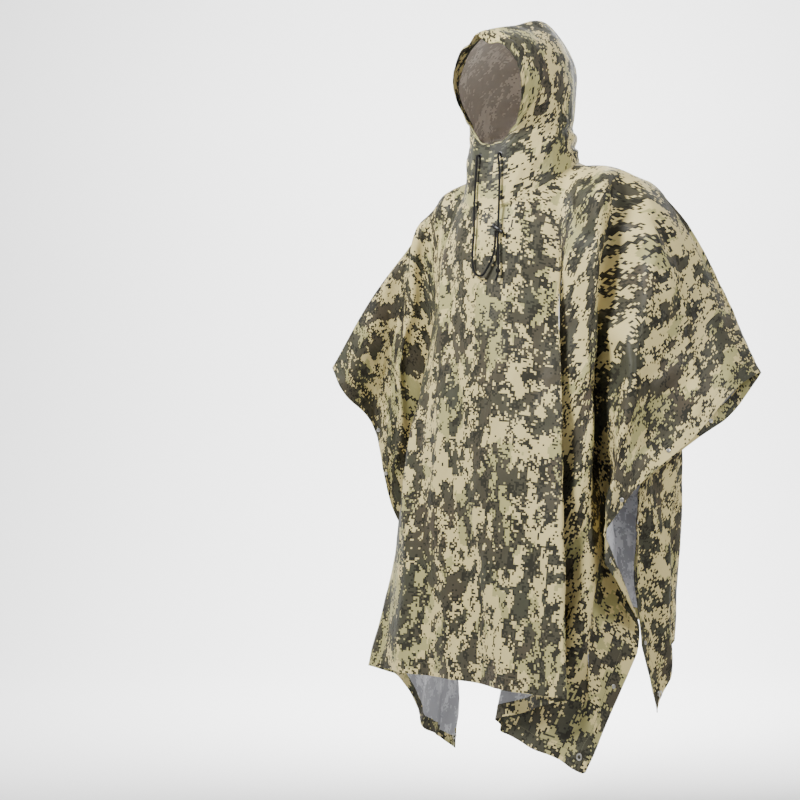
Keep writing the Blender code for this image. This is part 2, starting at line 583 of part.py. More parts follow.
def cut_holes(piece, cutters):
    """Cuts all the holes of one piece of cloth."""
    for cutter in cutters:
        cutter.hide_render = True
        cutter.display_type = "WIRE"
        cut = piece.modifiers.new(cutter.name, "BOOLEAN")
        cut.operation = "DIFFERENCE"
        cut.object = cutter


def set_metal(panel, piece, grid, normals, metal):
    """Corner eyelets and side snaps of one panel."""
    cutters = []
    for side, word in ((1, "left"), (-1, "right")):
        s = side * (CUT_HALF_WIDTH - EYELET_INSET)
        spot = at_cut(grid, normals, s, CUT_HALF_LENGTH - EYELET_INSET)
        make_setting(f"eyelet_{panel}_{word}", EYELET, *spot, metal, cutters)
        for number, r in enumerate(SNAP_PLACES, 1):
            spot = at_cut(grid, normals, side * (CUT_HALF_WIDTH - SNAP_INSET), r)
            make_setting(f"snap_{panel}_{word}_{number}", SNAP, *spot, metal, cutters)
    cut_holes(piece, cutters)


def make_cord(name, route, material):
    """A free length of the drawcord along a smooth curve through its route."""
    places = np.linspace(0, len(route) - 1, CORD_STEPS * (len(route) - 1) + 1)
    points = [hermite(range(len(route)), route, place) for place in places]
    curve = bpy.data.curves.new(name, "CURVE")
    curve.dimensions = "3D"
    curve.bevel_depth = CORD_DIAMETER / 2
    curve.bevel_resolution = 2
    curve.use_fill_caps = True
    line = curve.splines.new("POLY")
    line.points.add(len(points) - 1)
    for spot, point in zip(line.points, points):
        spot.co = (*point, 1)
    cord = bpy.data.objects.new(name, curve)
    cord.data.materials.append(material)
    bpy.context.collection.objects.link(cord)


def clear_scene():
    for old in list(bpy.data.objects):
        bpy.data.objects.remove(old, do_unlink=True)


def main():
    clear_scene()
    cloth = material("printed cloth", PRINT, 0.75)
    metal = material("dull metal", METAL, 0.4, 1.0)
    black = material("black cord and plastic", BLACK, 0.6)
    for panel in ("front", "back"):
        piece, grid, normals = make_panel(panel, cloth)
        set_metal(panel, piece, grid, normals, metal)
    for side, word in ((1, "left"), (-1, "right")):
        piece, outer, _ = make_hood_half("hood_" + word, side, cloth)
        spot, normal, _, _ = surface_tree(outer, 0)[0].find_nearest(
            (side * CORD_EXIT[0], CORD_EXIT[1], CORD_EXIT[2]))
        cutters = []
        normal = normal if normal.y < 0 else -normal
        make_setting("cord_eyelet_" + word, CORD_EYELET, spot, -normal, normal, metal, cutters)
        cut_holes(piece, cutters)
    for name, route in CORDS.items():
        make_cord(name, route, black)
    turned_piece("cord_lock", LOCK, LOCK_CENTRE, LOCK_AXIS, black)
    turned_piece("cord_knot", KNOT, KNOT_CENTRE, KNOT_AXIS, black)


main()
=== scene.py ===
"""Looks of the rain poncho: thin printed cloth with its folds, hems, snaps, hood and drawcord.

Metres, +Z up, the front faces -Y, the wearer's left is +X, the origin is between the shoulders.
The cloth has the rails of the solids, in finer steps, with creases placed on its flat cut.
"""
from collections import namedtuple
from math import asin, ceil, cos, inf, pi, radians, sin, sqrt

import bmesh
import bpy
import numpy as np
from mathutils import Matrix, Vector, noise
from mathutils.bvhtree import BVHTree
from mathutils.geometry import barycentric_transform
from numpy.linalg import norm


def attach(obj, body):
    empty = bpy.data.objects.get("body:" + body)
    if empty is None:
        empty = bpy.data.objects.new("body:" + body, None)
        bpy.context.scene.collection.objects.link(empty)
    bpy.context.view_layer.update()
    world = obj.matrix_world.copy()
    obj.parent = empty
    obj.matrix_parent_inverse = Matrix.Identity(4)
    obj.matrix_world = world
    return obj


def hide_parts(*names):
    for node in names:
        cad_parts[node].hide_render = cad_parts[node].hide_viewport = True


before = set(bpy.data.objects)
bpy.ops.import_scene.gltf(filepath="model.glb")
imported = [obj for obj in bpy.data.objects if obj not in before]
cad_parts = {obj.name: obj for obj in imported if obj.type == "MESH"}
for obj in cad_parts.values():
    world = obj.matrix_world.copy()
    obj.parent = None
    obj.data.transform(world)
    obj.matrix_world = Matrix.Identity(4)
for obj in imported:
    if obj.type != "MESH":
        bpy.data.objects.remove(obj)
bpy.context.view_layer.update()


def rows_of(kind, *rows):
    """A table's rows, each with the named columns of its kind."""
    return [kind(*row) for row in rows]


# the cut of the sheet: s runs across from the centre, r runs away from the shoulder line
HALF_WIDTH = 0.725
LENGTH = 1.10  # of each panel
HEM = 0.027  # width of the turned hems

# the neck hole, half an ellipse in each panel
NECK_HALF_WIDTH = 0.120
NECK_SIDE_Z = 0.012  # height of the neck seam at the side of the neck
NECK_ALONG = 0.18  # how far along the top edge a quarter of the neck counts
Neck = namedtuple("Neck", "cut_r y z slope side_slope side_spread")
NECK = {
    "front": Neck(0.150, -0.145, -0.085, -2.4, -0.85, 0.07),
    "back": Neck(0.085, 0.105, 0.035, -0.25, 0.12, 0.11),
}

# the line over the side of the neck, the shoulder and the arm, at places s across the cut
Top = namedtuple("Top", "s x y z")
TOP_LEFT = rows_of(
    Top,
    (0.120, 0.120, 0.000, NECK_SIDE_Z),
    (0.205, 0.195, 0.048, 0.007),
    (0.295, 0.262, 0.108, -0.042),
    (0.400, 0.319, 0.144, -0.136),
    (0.510, 0.366, 0.165, -0.236),
    (0.725, 0.460, 0.175, -0.415),
)
TOP_RIGHT = rows_of(
    Top,
    (0.120, 0.120, 0.000, NECK_SIDE_Z),
    (0.205, 0.196, 0.015, -0.012),
    (0.295, 0.260, 0.010, -0.071),
    (0.510, 0.367, -0.060, -0.236),
    (0.725, 0.448, -0.110, -0.400),
)

# one row for each fold: start along the top edge, end on the cut, how far it runs out before it
# falls, where its end hangs, how round it is (0 to 0.5), how much cloth has slid into it from the
# other panel, and how far it bows inwards
Rail = namedtuple("Rail", "name top cut_s cut_r reach x y soft slid bow", defaults=(0.0, 0.0))
FRONT_LEFT = rows_of(
    Rail,
    ("centre", 0.000, 0.000, 1.100, 0.050, 0.000, -0.215, 0.45),
    ("breast", 0.080, 0.130, 1.100, 0.060, 0.130, -0.240, 0.45),
    ("collar", 0.138, 0.195, 1.100, 0.075, 0.202, -0.246, 0.45, -0.010),
    ("front ridge", 0.180, 0.255, 1.100, 0.090, 0.265, -0.240, 0.20, -0.018),
    ("pleat back", 0.212, 0.485, 1.100, 0.102, 0.022, -0.172, 0.20, 0.035),
    ("corner", 0.255, 0.725, 1.100, 0.130, 0.275, -0.198, 0.30, 0.050),
    ("edge turn", 0.285, 0.725, 0.800, 0.120, 0.314, -0.040, 0.18, 0.050, 0.110),
    ("wing ridge", 0.306, 0.725, 0.560, 0.190, 0.292, -0.188, 0.20, 0.090),
    ("wing", 0.324, 0.725, 0.350, 0.160, 0.346, -0.115, 0.40, 0.095),
    ("wing upper", 0.340, 0.725, 0.210, 0.110, 0.420, -0.030, 0.45, 0.075),
    ("arm front", 0.348, 0.725, 0.090, 0.110, 0.458, 0.065, 0.45, 0.020),
    ("arm", 0.355, 0.725, 0.000, 0.000, 0.460, 0.175, 0.00),
)
FRONT_RIGHT = rows_of(
    Rail,
    ("centre", 0.000, 0.000, 1.100, 0.050, 0.000, -0.215, 0.45),
    ("breast", 0.080, 0.140, 1.100, 0.060, 0.140, -0.200, 0.45),
    ("collar", 0.138, 0.215, 1.100, 0.070, 0.222, -0.186, 0.45, -0.014),
    ("front ridge", 0.180, 0.300, 1.100, 0.080, 0.300, -0.155, 0.30, -0.024),
    ("pleat", 0.212, 0.425, 1.100, 0.080, 0.298, -0.038, 0.40, -0.010),
    ("tuck ridge", 0.238, 0.520, 1.100, 0.070, 0.311, 0.036, 0.30, 0.100),
    ("tuck", 0.262, 0.610, 1.100, 0.060, 0.318, 0.100, 0.40, 0.098),
    ("corner", 0.284, 0.725, 1.100, 0.060, 0.300, 0.150, 0.40, 0.092),
    ("edge turn", 0.300, 0.725, 0.800, 0.070, 0.290, 0.135, 0.30, 0.030),
    ("wing low", 0.313, 0.725, 0.560, 0.080, 0.358, 0.000, 0.35),
    ("wing tuck", 0.325, 0.725, 0.420, 0.075, 0.368, -0.030, 0.40),
    ("wing ridge", 0.334, 0.725, 0.300, 0.065, 0.386, -0.022, 0.40),
    ("wing upper", 0.341, 0.725, 0.190, 0.070, 0.394, -0.045, 0.40),
    ("arm front", 0.348, 0.725, 0.080, 0.110, 0.415, -0.112, 0.45),
    ("arm", 0.355, 0.725, 0.000, 0.000, 0.448, -0.110, 0.00),
)
BACK_LEFT = rows_of(
    Rail,
    ("centre", 0.000, 0.000, 1.100, 0.060, 0.000, 0.215, 0.45),
    ("blade", 0.080, 0.150, 1.100, 0.100, 0.150, 0.220, 0.45),
    ("collar", 0.138, 0.235, 1.100, 0.125, 0.225, 0.212, 0.45),
    ("back ridge", 0.180, 0.315, 1.100, 0.150, 0.262, 0.188, 0.35),
    ("pleat", 0.232, 0.425, 1.100, 0.130, 0.235, 0.135, 0.35),
    ("pleat ridge", 0.302, 0.560, 1.100, 0.180, 0.322, 0.080, 0.30, -0.105),
    ("corner", 0.314, 0.725, 1.100, 0.110, 0.335, -0.018, 0.35, -0.050),
    ("edge front", 0.322, 0.725, 0.850, 0.080, 0.298, -0.048, 0.30, -0.020),
    ("side ridge", 0.330, 0.725, 0.520, 0.090, 0.296, -0.045, 0.30),
    ("wing", 0.338, 0.725, 0.350, 0.080, 0.358, 0.075, 0.40),
    ("wing upper", 0.344, 0.725, 0.200, 0.080, 0.402, 0.165, 0.40, 0.028),
    ("arm back", 0.349, 0.725, 0.080, 0.110, 0.445, 0.210, 0.45),
    ("arm", 0.355, 0.725, 0.000, 0.000, 0.460, 0.175, 0.00),
)
BACK_RIGHT = rows_of(
    Rail,
    ("centre", 0.000, 0.000, 1.100, 0.060, 0.000, 0.215, 0.45),
    ("blade", 0.080, 0.150, 1.100, 0.100, 0.150, 0.215, 0.45),
    ("collar", 0.138, 0.232, 1.100, 0.110, 0.220, 0.212, 0.45),
    ("back ridge", 0.180, 0.310, 1.100, 0.120, 0.285, 0.200, 0.30),
    ("pleat", 0.212, 0.425, 1.100, 0.110, 0.215, 0.145, 0.30),
    ("pleat ridge", 0.244, 0.560, 1.100, 0.130, 0.322, 0.165, 0.30, -0.020),
    ("corner", 0.274, 0.725, 1.100, 0.120, 0.352, 0.085, 0.30, -0.040),
    ("edge front", 0.300, 0.725, 0.720, 0.110, 0.362, 0.045, 0.30),
    ("side ridge", 0.318, 0.725, 0.520, 0.110, 0.372, 0.115, 0.30),
    ("wing", 0.332, 0.725, 0.350, 0.090, 0.385, 0.090, 0.40),
    ("wing upper", 0.341, 0.725, 0.200, 0.080, 0.420, 0.050, 0.40),
    ("arm back", 0.348, 0.725, 0.080, 0.110, 0.440, -0.020, 0.45),
    ("arm", 0.355, 0.725, 0.000, 0.000, 0.448, -0.110, 0.00),
)
SIDES = {
    ("front", 1): FRONT_LEFT, ("front", -1): FRONT_RIGHT,
    ("back", 1): BACK_LEFT, ("back", -1): BACK_RIGHT,
}

# the hood: each hoop runs from the neck seam up over the cheek to the seam over the crown
Hoop = namedtuple("Hoop", "name foot_deg jaw cheek temple brow ridge")
HOOD_HOOPS = rows_of(
    Hoop,
    ("face", 0, (0.000, -0.124, 0.049), (0.057, -0.113, 0.092), (0.086, -0.136, 0.172),
     (0.060, -0.151, 0.236), (0.000, -0.175, 0.265)),
    ("chin", 24, (0.050, -0.113, 0.050), (0.070, -0.096, 0.098), (0.099, -0.108, 0.179),
     (0.067, -0.113, 0.250), (0.000, -0.125, 0.286)),
    ("ear", 60, (0.106, -0.050, 0.062), (0.106, -0.050, 0.115), (0.104, -0.048, 0.192),
     (0.070, -0.046, 0.268), (0.000, -0.045, 0.310)),
    ("crown", 100, (0.106, 0.010, 0.065), (0.104, 0.018, 0.118), (0.092, 0.040, 0.192),
     (0.056, 0.063, 0.276), (0.000, 0.085, 0.341)),
    ("back", 130, (0.084, 0.065, 0.080), (0.062, 0.085, 0.130), (0.050, 0.114, 0.172),
     (0.030, 0.150, 0.215), (0.000, 0.199, 0.264)),
    ("nape", 155, (0.045, 0.108, 0.085), (0.036, 0.124, 0.104), (0.028, 0.138, 0.118),
     (0.018, 0.155, 0.130), (0.000, 0.178, 0.142)),
    ("foot", 180, (0.000, 0.120, 0.055), (0.000, 0.127, 0.065), (0.000, 0.132, 0.073),
     (0.000, 0.137, 0.080), (0.000, 0.142, 0.088)),
)

# the thin shell
SHEET = 0.0007  # single cloth
HEMMED = 0.0016  # turned hem, twice the cloth and the air in it
CORNER_COLUMNS = 7  # columns that round a fold
WIDEST_STEP = 0.012  # between columns, measured on the cut's edge
LEVELS = 66  # rows from the shoulder to the hem
SOFT_TOP, SOFT_UNTIL = 0.45, 0.35  # folds start this round, until this far down
SHARPEST = 0.15  # sine of half the sharpest fold's angle
STITCH = 0.0245  # hem stitching, from the edge
HEM_ROWS = (HEM + 0.002, HEM, STITCH, 0.020, 0.012, 0.004, 0.0)  # from the edge

# small creases: a line on the cut, and the half width and height of its soft ridge
Crease = namedtuple("Crease", "s0 r0 s1 r1 width height")
CREASES = {
    "front": rows_of(
        Crease,
        (0.02, 0.17, 0.035, 0.62, 0.016, 0.004), (-0.045, 0.19, -0.09, 0.75, 0.018, -0.0035),
        (0.075, 0.16, 0.13, 0.55, 0.014, -0.0035), (-0.09, 0.14, -0.15, 0.48, 0.015, 0.0035),
        (0.15, 0.05, 0.33, 0.2, 0.014, 0.0045), (0.16, 0.09, 0.37, 0.3, 0.012, -0.004),
        (0.2, 0.06, 0.52, 0.22, 0.016, 0.0045), (0.26, 0.05, 0.6, 0.15, 0.013, -0.0035),
        (0.3, 0.18, 0.64, 0.42, 0.018, 0.005), (0.28, 0.28, 0.56, 0.6, 0.017, -0.0045),
        (0.42, 0.22, 0.7, 0.36, 0.014, -0.0035), (0.48, 0.1, 0.7, 0.2, 0.012, 0.003),
        (-0.15, 0.05, -0.32, 0.24, 0.014, 0.0045), (-0.18, 0.1, -0.4, 0.4, 0.015, -0.004),
        (-0.23, 0.06, -0.5, 0.24, 0.014, 0.004), (-0.34, 0.1, -0.66, 0.26, 0.013, -0.0035),
        (-0.42, 0.22, -0.69, 0.46, 0.016, 0.0045), (-0.35, 0.35, -0.56, 0.8, 0.018, -0.004),
        (0.06, 0.6, 0.02, 1.06, 0.022, 0.0045), (-0.03, 0.55, -0.055, 1.07, 0.024, -0.0045),
        (0.15, 0.5, 0.17, 1.07, 0.018, 0.004), (-0.17, 0.5, -0.2, 1.07, 0.02, 0.0045),
        (0.4, 0.62, 0.52, 1.06, 0.02, 0.0045), (-0.48, 0.6, -0.64, 1.06, 0.018, 0.004),
    ),
    "back": rows_of(
        Crease,
        (0.03, 0.12, 0.055, 0.66, 0.018, 0.004), (-0.04, 0.13, -0.075, 0.62, 0.017, -0.0035),
        (0.1, 0.1, 0.16, 0.5, 0.015, -0.004), (-0.105, 0.09, -0.18, 0.56, 0.016, 0.004),
        (0.16, 0.06, 0.36, 0.26, 0.014, 0.0045), (-0.16, 0.06, -0.35, 0.28, 0.014, -0.004),
        (0.24, 0.06, 0.54, 0.22, 0.013, -0.004), (-0.25, 0.06, -0.56, 0.26, 0.014, 0.0045),
        (0.38, 0.16, 0.69, 0.42, 0.015, 0.0045), (-0.38, 0.18, -0.69, 0.44, 0.015, -0.004),
        (0.06, 0.55, 0.01, 1.06, 0.024, -0.0045), (-0.1, 0.55, -0.13, 1.06, 0.02, 0.0045),
        (0.23, 0.45, 0.26, 1.06, 0.018, 0.004), (-0.29, 0.5, -0.33, 1.06, 0.018, -0.004),
        (0.5, 0.56, 0.64, 1.05, 0.018, 0.004), (-0.52, 0.6, -0.66, 1.05, 0.018, 0.004),
    ),
}
CREASE_GAIN = 2.0
Slack = namedtuple("Slack", "height across down")  # height, and waves a metre each way
SLACK = (Slack(0.0060, 10.0, 3.4), Slack(0.0026, 26.0, 12.0))
SEED = {"front": 3.0, "back": 8.0}
SWAY = {"front": 0.0062, "back": 0.0100}  # height of the slack waves near the hem
SWAY_WIDTH = 0.120
Trace = namedtuple("Trace", "height width")  # what a seam or its stitches do to the cloth
PUCKER, PUCKER_WAVES = Trace(0.0011, 0.010), 70.0
STITCH_GROOVE = Trace(0.0005, 0.0022)
NECK_GROOVE = Trace(0.0010, 0.004)

# the same on the hood, in degrees round the neck seam and rows up the hoops (0 to 5)
HOOD_CREASES = rows_of(
    Crease,
    (76, 1.22, 200, 1.22, 0.15, -0.0055), (92, 0.9, 200, 0.92, 0.24, 0.0065),
    (80, 0.5, 200, 0.52, 0.13, -0.0055), (100, 0.28, 200, 0.3, 0.12, 0.003),
    (16, 1.6, 34, 3.4, 0.2, 0.003), (30, 1.1, 52, 3.6, 0.24, -0.003),
    (22, 0.15, 60, 1.1, 0.16, 0.0035), (8, 0.3, 44, 0.7, 0.14, -0.0025),
    (60, 1.3, 110, 2.1, 0.2, 0.0035), (70, 3.00, 120, 4.2, 0.24, 0.003),
    (50, 3.6, 84, 4.8, 0.22, -0.0028), (110, 2.2, 150, 2.6, 0.22, -0.003),
)
HOOD_DEGREES_PER_ROW = 30.0  # a crease's width is in rows; degrees are scaled by this
HOOD_SLACK = (Slack(0.0022, 0.045, 1.6), Slack(0.0010, 0.13, 4.5))  # waves a degree and a row
FACE_PUCKER, FACE_PUCKER_WAVES = 0.0021, 50.0
FACE_ROLL = 0.0016  # how far the turned face edge stands out
CHANNEL_GROOVE = Trace(0.0010, 1.1)  # widths in degrees here, and in rows in the next two
FOOT_GROOVE = Trace(0.0012, 0.05)
CROWN_GROOVE = Trace(0.0010, 0.035)
FACING_DEGREES = 33.0  # inside, the print shows as far as this
CHANNEL_DEGREES = 20.0  # the turned face edge ends here
HOOD_DEGREES = np.array([*np.linspace(0, CHANNEL_DEGREES, 13), 21, 22.5, 24, *np.linspace(26, 180, 78)])
NECK_ROWS = 13  # rows of points up to the face opening
HOOD_ROWS = np.array([*np.linspace(0, 1, NECK_ROWS)[:-1], *np.linspace(1, 5, 73)])
HOOD_ON_CLOTH = (3.0, 0.4)  # where the hood is cut, clear of the panels

# under the chin the face edge sags between the middle and the cheek
Sag = namedtuple("Sag", "x width depth degrees")
CHIN_SAG = Sag(0.026, 0.016, 0.009, 14.0)

# eyelets: radius of bore and flange, height of the lip, and thickness of what it grips
Eyelet = namedtuple("Eyelet", "bore flange lip grip")
CORNER_EYELET = Eyelet(0.0038, 0.0072, 0.0011, HEMMED)
CORD_EYELET = Eyelet(0.0022, 0.0050, 0.0009, 0.0032)
CORD_EYELET_CENTRE = (0.0255, -0.1227, 0.0279)
CORD_EYELET_AXIS = (0.1107, -0.9813, 0.1574)
SNAP_CAP = 0.0017  # height of a snap's cap

# set in each side of a panel: words of the piece and the node, inset and place on the cut
Setting = namedtuple("Setting", "piece node number inset r")
EYELET_INSET, SNAP_INSET = 0.0235, 0.0135
SETTINGS = [Setting("ring", "eyelet", "", EYELET_INSET, LENGTH - EYELET_INSET)] + [
    Setting("stud", "snap", f"_{k}", SNAP_INSET, r) for k, r in enumerate((0.27, 0.43, 0.61, 0.92), 1)]
SETTING_CALM = 0.020  # creases fade out this near to a piece of metal

# they also fade out on the breast, where the cord lies, and on the hood's neck, in degrees
CORD_CALM = namedtuple("CordCalm", "half_width middle half_length")(0.100, 0.200, 0.190)
NECK_CALM = (18.0, 34.0)

# the drawcord: the left strand runs through the lock and a knot to its end, and the right one
# hangs in a loop and comes back up into the lock
CORD_DIAMETER = 0.0044
CORD_LIFT = (0.0, -0.0020, 0.0)  # from the solid cord, which is thinner
LIFT_ROWS = 2  # it comes forward over these rows of a route
CORD_STEPS = 8  # points to each row of a route
STRAND_LEFT = (
    (0.0251, -0.1188, 0.0273), (0.0261, -0.1281, 0.0287), (0.0272, -0.1320, 0.0240),
    (0.0290, -0.1330, 0.0140), (0.0325, -0.1345, -0.0157), (0.0365, -0.1415, -0.0674),
    (0.0412, -0.1500, -0.1080), (0.0440, -0.1541, -0.1260), (0.0432, -0.1556, -0.1400),
    (0.0449, -0.1575, -0.1500), (0.0475, -0.1598, -0.1808), (0.0500, -0.1629, -0.2073),
    (0.0510, -0.1645, -0.2189), (0.0492, -0.1652, -0.2255), (0.0455, -0.1658, -0.2330))
STRAND_RIGHT = (
    (-0.0251, -0.1188, 0.0273), (-0.0261, -0.1281, 0.0287), (-0.0266, -0.1320, 0.0240),
    (-0.0262, -0.1330, 0.0140), (-0.0258, -0.1372, -0.0232), (-0.0213, -0.1475, -0.0756),
    (-0.0105, -0.1630, -0.1305), (-0.0097, -0.1695, -0.1786), (-0.0043, -0.1730, -0.2095),
    (0.0058, -0.1735, -0.2211), (0.0166, -0.1710, -0.2213), (0.0245, -0.1682, -0.2105),
    (0.0352, -0.1630, -0.1865), (0.0390, -0.1592, -0.1620), (0.0376, -0.1555, -0.1335))
LOCK_CENTRE = (0.0427, -0.1545, -0.1285)
LOCK_AXIS = (0.816, 0.104, -0.569)
KNOT_CENTRE = (0.0505, -0.1637, -0.2131)
KNOT_AXIS = (-0.092, 0.140, 0.986)
KNOT_STEPS, KNOT_RADIUS, KNOT_RISE = 48, 0.00118, 0.0022

# camera: level, at the garment's left front
CAMERA_AZIMUTH = radians(35)
CAMERA_DISTANCE = 3.0
CAMERA_HEIGHT = -0.472
LENS = 63.9
SHIFT_X = -0.15625
AWAY = np.array([-sin(CAMERA_AZIMUTH), cos(CAMERA_AZIMUTH)])  # level, away from the camera

# the floor, at the wearer's soles, bends up into a wall behind the garment
FLOOR = -1.47
Stage = namedtuple("Stage", "near bend radius top half_width")
STAGE = Stage(-9.0, 2.2, 2.5, 6.0, 11.0)

# lamps: degrees round the garment, distance, height, size, power; the last lights the backdrop
Lamp = namedtuple("Lamp", "name azimuth distance height size power")
LAMPS = (
    Lamp("key", -18, 1.8, 1.3, 0.7, 120), Lamp("side", 80, 2.5, 1.2, 0.8, 66),
    Lamp("rim", 205, 3.2, 1.6, 1.4, 26), Lamp("sweep", 215, 0.45, 0.8, 1.8, 760))
LAMP_TARGET = (0.0, 0.0, -0.45)
WORLD_STRENGTH = 0.25

# print: the size of one square, and colours from light to dark
CELL = 0.0035
SAND = (0.56, 0.465, 0.21)
PALE_OLIVE = (0.34, 0.31, 0.13)
BROWN = (0.060, 0.045, 0.029)
GREY = (0.040, 0.041, 0.026)
DARK = (0.013, 0.0125, 0.008)
THREAD = (0.10, 0.095, 0.06)
WORN = (0.52, 0.49, 0.37)

# fields of the print: noise, how far single squares stray, and where the colour starts
Field = namedtuple("Field", "scale detail rough seed stray start")
LIGHT = Field(15.0, 4.0, 0.60, 31.0, 0.0, 0.54)
BLOTCH = Field(29.0, 4.0, 0.60, 2.0, 0.10, 0.494)
CLUSTER = Field(48.0, 3.0, 0.62, 17.0, -0.17, 0.590)
HOLE = Field(50.0, 2.0, 0.60, 23.0, 0.15, 0.640)
BLOTCH_RIM = 0.030  # a blotch's dark rim, before its grey or brown
LONG_WAY = (1.0, 0.55, 1.0)  # blotches and crinkles are longer down the cut than across
RIPSTOP = 0.0034  # width of the weave's squares
WEAVE_DEPTH = 0.0004
STITCH_STEP, STITCH_SHARE, STITCH_HALF_WIDTH = 0.0042, 0.68, 0.0005


def unit(v):
    v = np.asarray(v, float)
    return v / norm(v)


def runs(points):
    """Distance along a line at each of its points."""
    return np.concatenate([[0], np.cumsum(norm(np.diff(points, axis=0), axis=1))])


def hermite(places, points, at):
    """Smooth curve through points that lie at the given places, read at one place."""
    places = np.asarray(places, float)
    points = np.asarray(points, float)
    slope = np.empty_like(points)
    slope[1:-1] = (points[2:] - points[:-2]) / (places[2:] - places[:-2])[:, None]
    slope[[0, -1]] = (np.diff(points, axis=0) / np.diff(places)[:, None])[[0, -1]]
    i = int(np.clip(np.searchsorted(places, at) - 1, 0, len(places) - 2))
    h = places[i + 1] - places[i]
    t = (at - places[i]) / h
    return (
        (2 * t ** 3 - 3 * t ** 2 + 1) * points[i] + (t ** 3 - 2 * t ** 2 + t) * h * slope[i]
        + (-2 * t ** 3 + 3 * t ** 2) * points[i + 1] + (t ** 3 - t ** 2) * h * slope[i + 1])


def shoulder_line(side, s):
    """The line over shoulder and arm, at a distance s across the cut, on the +X side."""
    rows = TOP_LEFT if side > 0 else TOP_RIGHT
    return hermite([row.s for row in rows], [row[1:] for row in rows], s)


def top_edge(panel, side, top):
    """Point on a panel's top edge, and its place (s, r) on the cut, on the +X side."""
    if top >= NECK_ALONG:
        s = NECK_HALF_WIDTH + top - NECK_ALONG
        point = shoulder_line(side, s)
        return point, (s, 0.0)
    neck = NECK[panel]
    turn = pi / 2 * top / NECK_ALONG
    across, depth = sin(turn), cos(turn)
    point = np.array([NECK_HALF_WIDTH * across, neck.y * depth, neck.z * depth + NECK_SIDE_Z * across])
    return point, (NECK_HALF_WIDTH * across, neck.cut_r * depth)


def rail_points(row, panel, side, shares):
    """Points of one rail at shares of its length, as rows of x, y, z, s, r."""
    forward = -1.0 if panel == "front" else 1.0
    if row.cut_r == 0:
        places = row.top + (HALF_WIDTH - NECK_HALF_WIDTH - row.top + NECK_ALONG) * shares
        edge = [top_edge(panel, side, place) for place in places]
        return np.array([[*point, *flat] for point, flat in edge])
    start, cut_start = top_edge(panel, side, row.top)
    cut_run = np.subtract((row.cut_s, row.cut_r), cut_start)
    cut_length = float(np.hypot(*cut_run))
    length = cut_length + row.slid
    depth = cos(pi / 2 * min(1.0, row.top / NECK_ALONG))
    beside = max(row.top, NECK_ALONG)
    along = unit(top_edge(panel, side, beside + 0.01)[0] - top_edge(panel, side, beside)[0])
    beside_neck = max(0.0, 1 - abs(row.top - NECK_ALONG) / NECK[panel].side_spread)
    slope = NECK[panel].slope * depth + NECK[panel].side_slope * beside_neck
    out = unit((0.0, forward, slope))
    leave = unit(cut_run[0] / cut_length * along + cut_run[1] / cut_length * out)
    turn = start + leave * row.reach
    end = np.array([row.x, row.y, turn[2] - length])
    t = np.linspace(0, 1, 20)[:, None]
    for _ in range(12):
        fall = end - turn
        knee = turn + unit(fall) * min(row.reach, norm(fall) / 2)
        bend = (1 - t) ** 2 * start + 2 * t * (1 - t) * turn + t ** 2 * knee
        hang = length - runs(bend)[-1]
        end[2] = knee[2] - sqrt(max(hang ** 2 - np.sum((end - knee)[:2] ** 2), 0.0))
    line = np.vstack([bend, end])
    run = runs(line)
    place = np.array([np.interp(shares * run[-1], run, line[:, k]) for k in range(3)]).T
    place[:, 0] -= row.bow * 4 * shares * (1 - shares)
    return np.hstack([place, cut_start + cut_run * shares[:, None]])


def across_cells(points):
    """Normals of a grid's cells, twice as long as their areas."""
    return np.cross(points[1:, 1:] - points[:-1, :-1], points[:-1, 1:] - points[1:, :-1])


def normals_of(points, flip):
    """Unit normals of a grid of points, each the mean of the cells round it."""
    cell = across_cells(points)
    cell /= np.maximum(norm(cell, axis=2), 1e-12)[:, :, None]
    cell = np.pad(cell, ((1, 1), (1, 1), (0, 0)), mode="edge")
    normal = cell[1:, 1:] + cell[:-1, 1:] + cell[1:, :-1] + cell[:-1, :-1]
    normal /= np.maximum(norm(normal, axis=2), 1e-9)[:, :, None]
    return -normal if flip else normal


def seam_normal(x, y):
    """Outward direction that all pieces share along the neck seam."""
    around = unit([x / NECK_HALF_WIDTH, y / abs(NECK["front" if y < 0 else "back"].y), 0.0])
    return unit(around + (0.0, 0.0, 0.7 + 0.2 * around[1]))


def arm_normal(side, s):
    """Outward direction that both panels share along the shoulder line."""
    along = shoulder_line(side, s + 0.005) - shoulder_line(side, s - 0.005)
    along[0] *= side
    return unit(np.cross(along, (-along[1], along[0], 0.0)))


def hem_share(row, inset):
    """Share of a rail at which it is this far from the cut's edge."""
    start = top_edge("front", 1, row.top)[1][0]
    across = row.cut_s - start if row.cut_s >= HALF_WIDTH else inf
    down = row.cut_r if row.cut_r >= LENGTH else inf
    return 1 - inset / min(across, down)


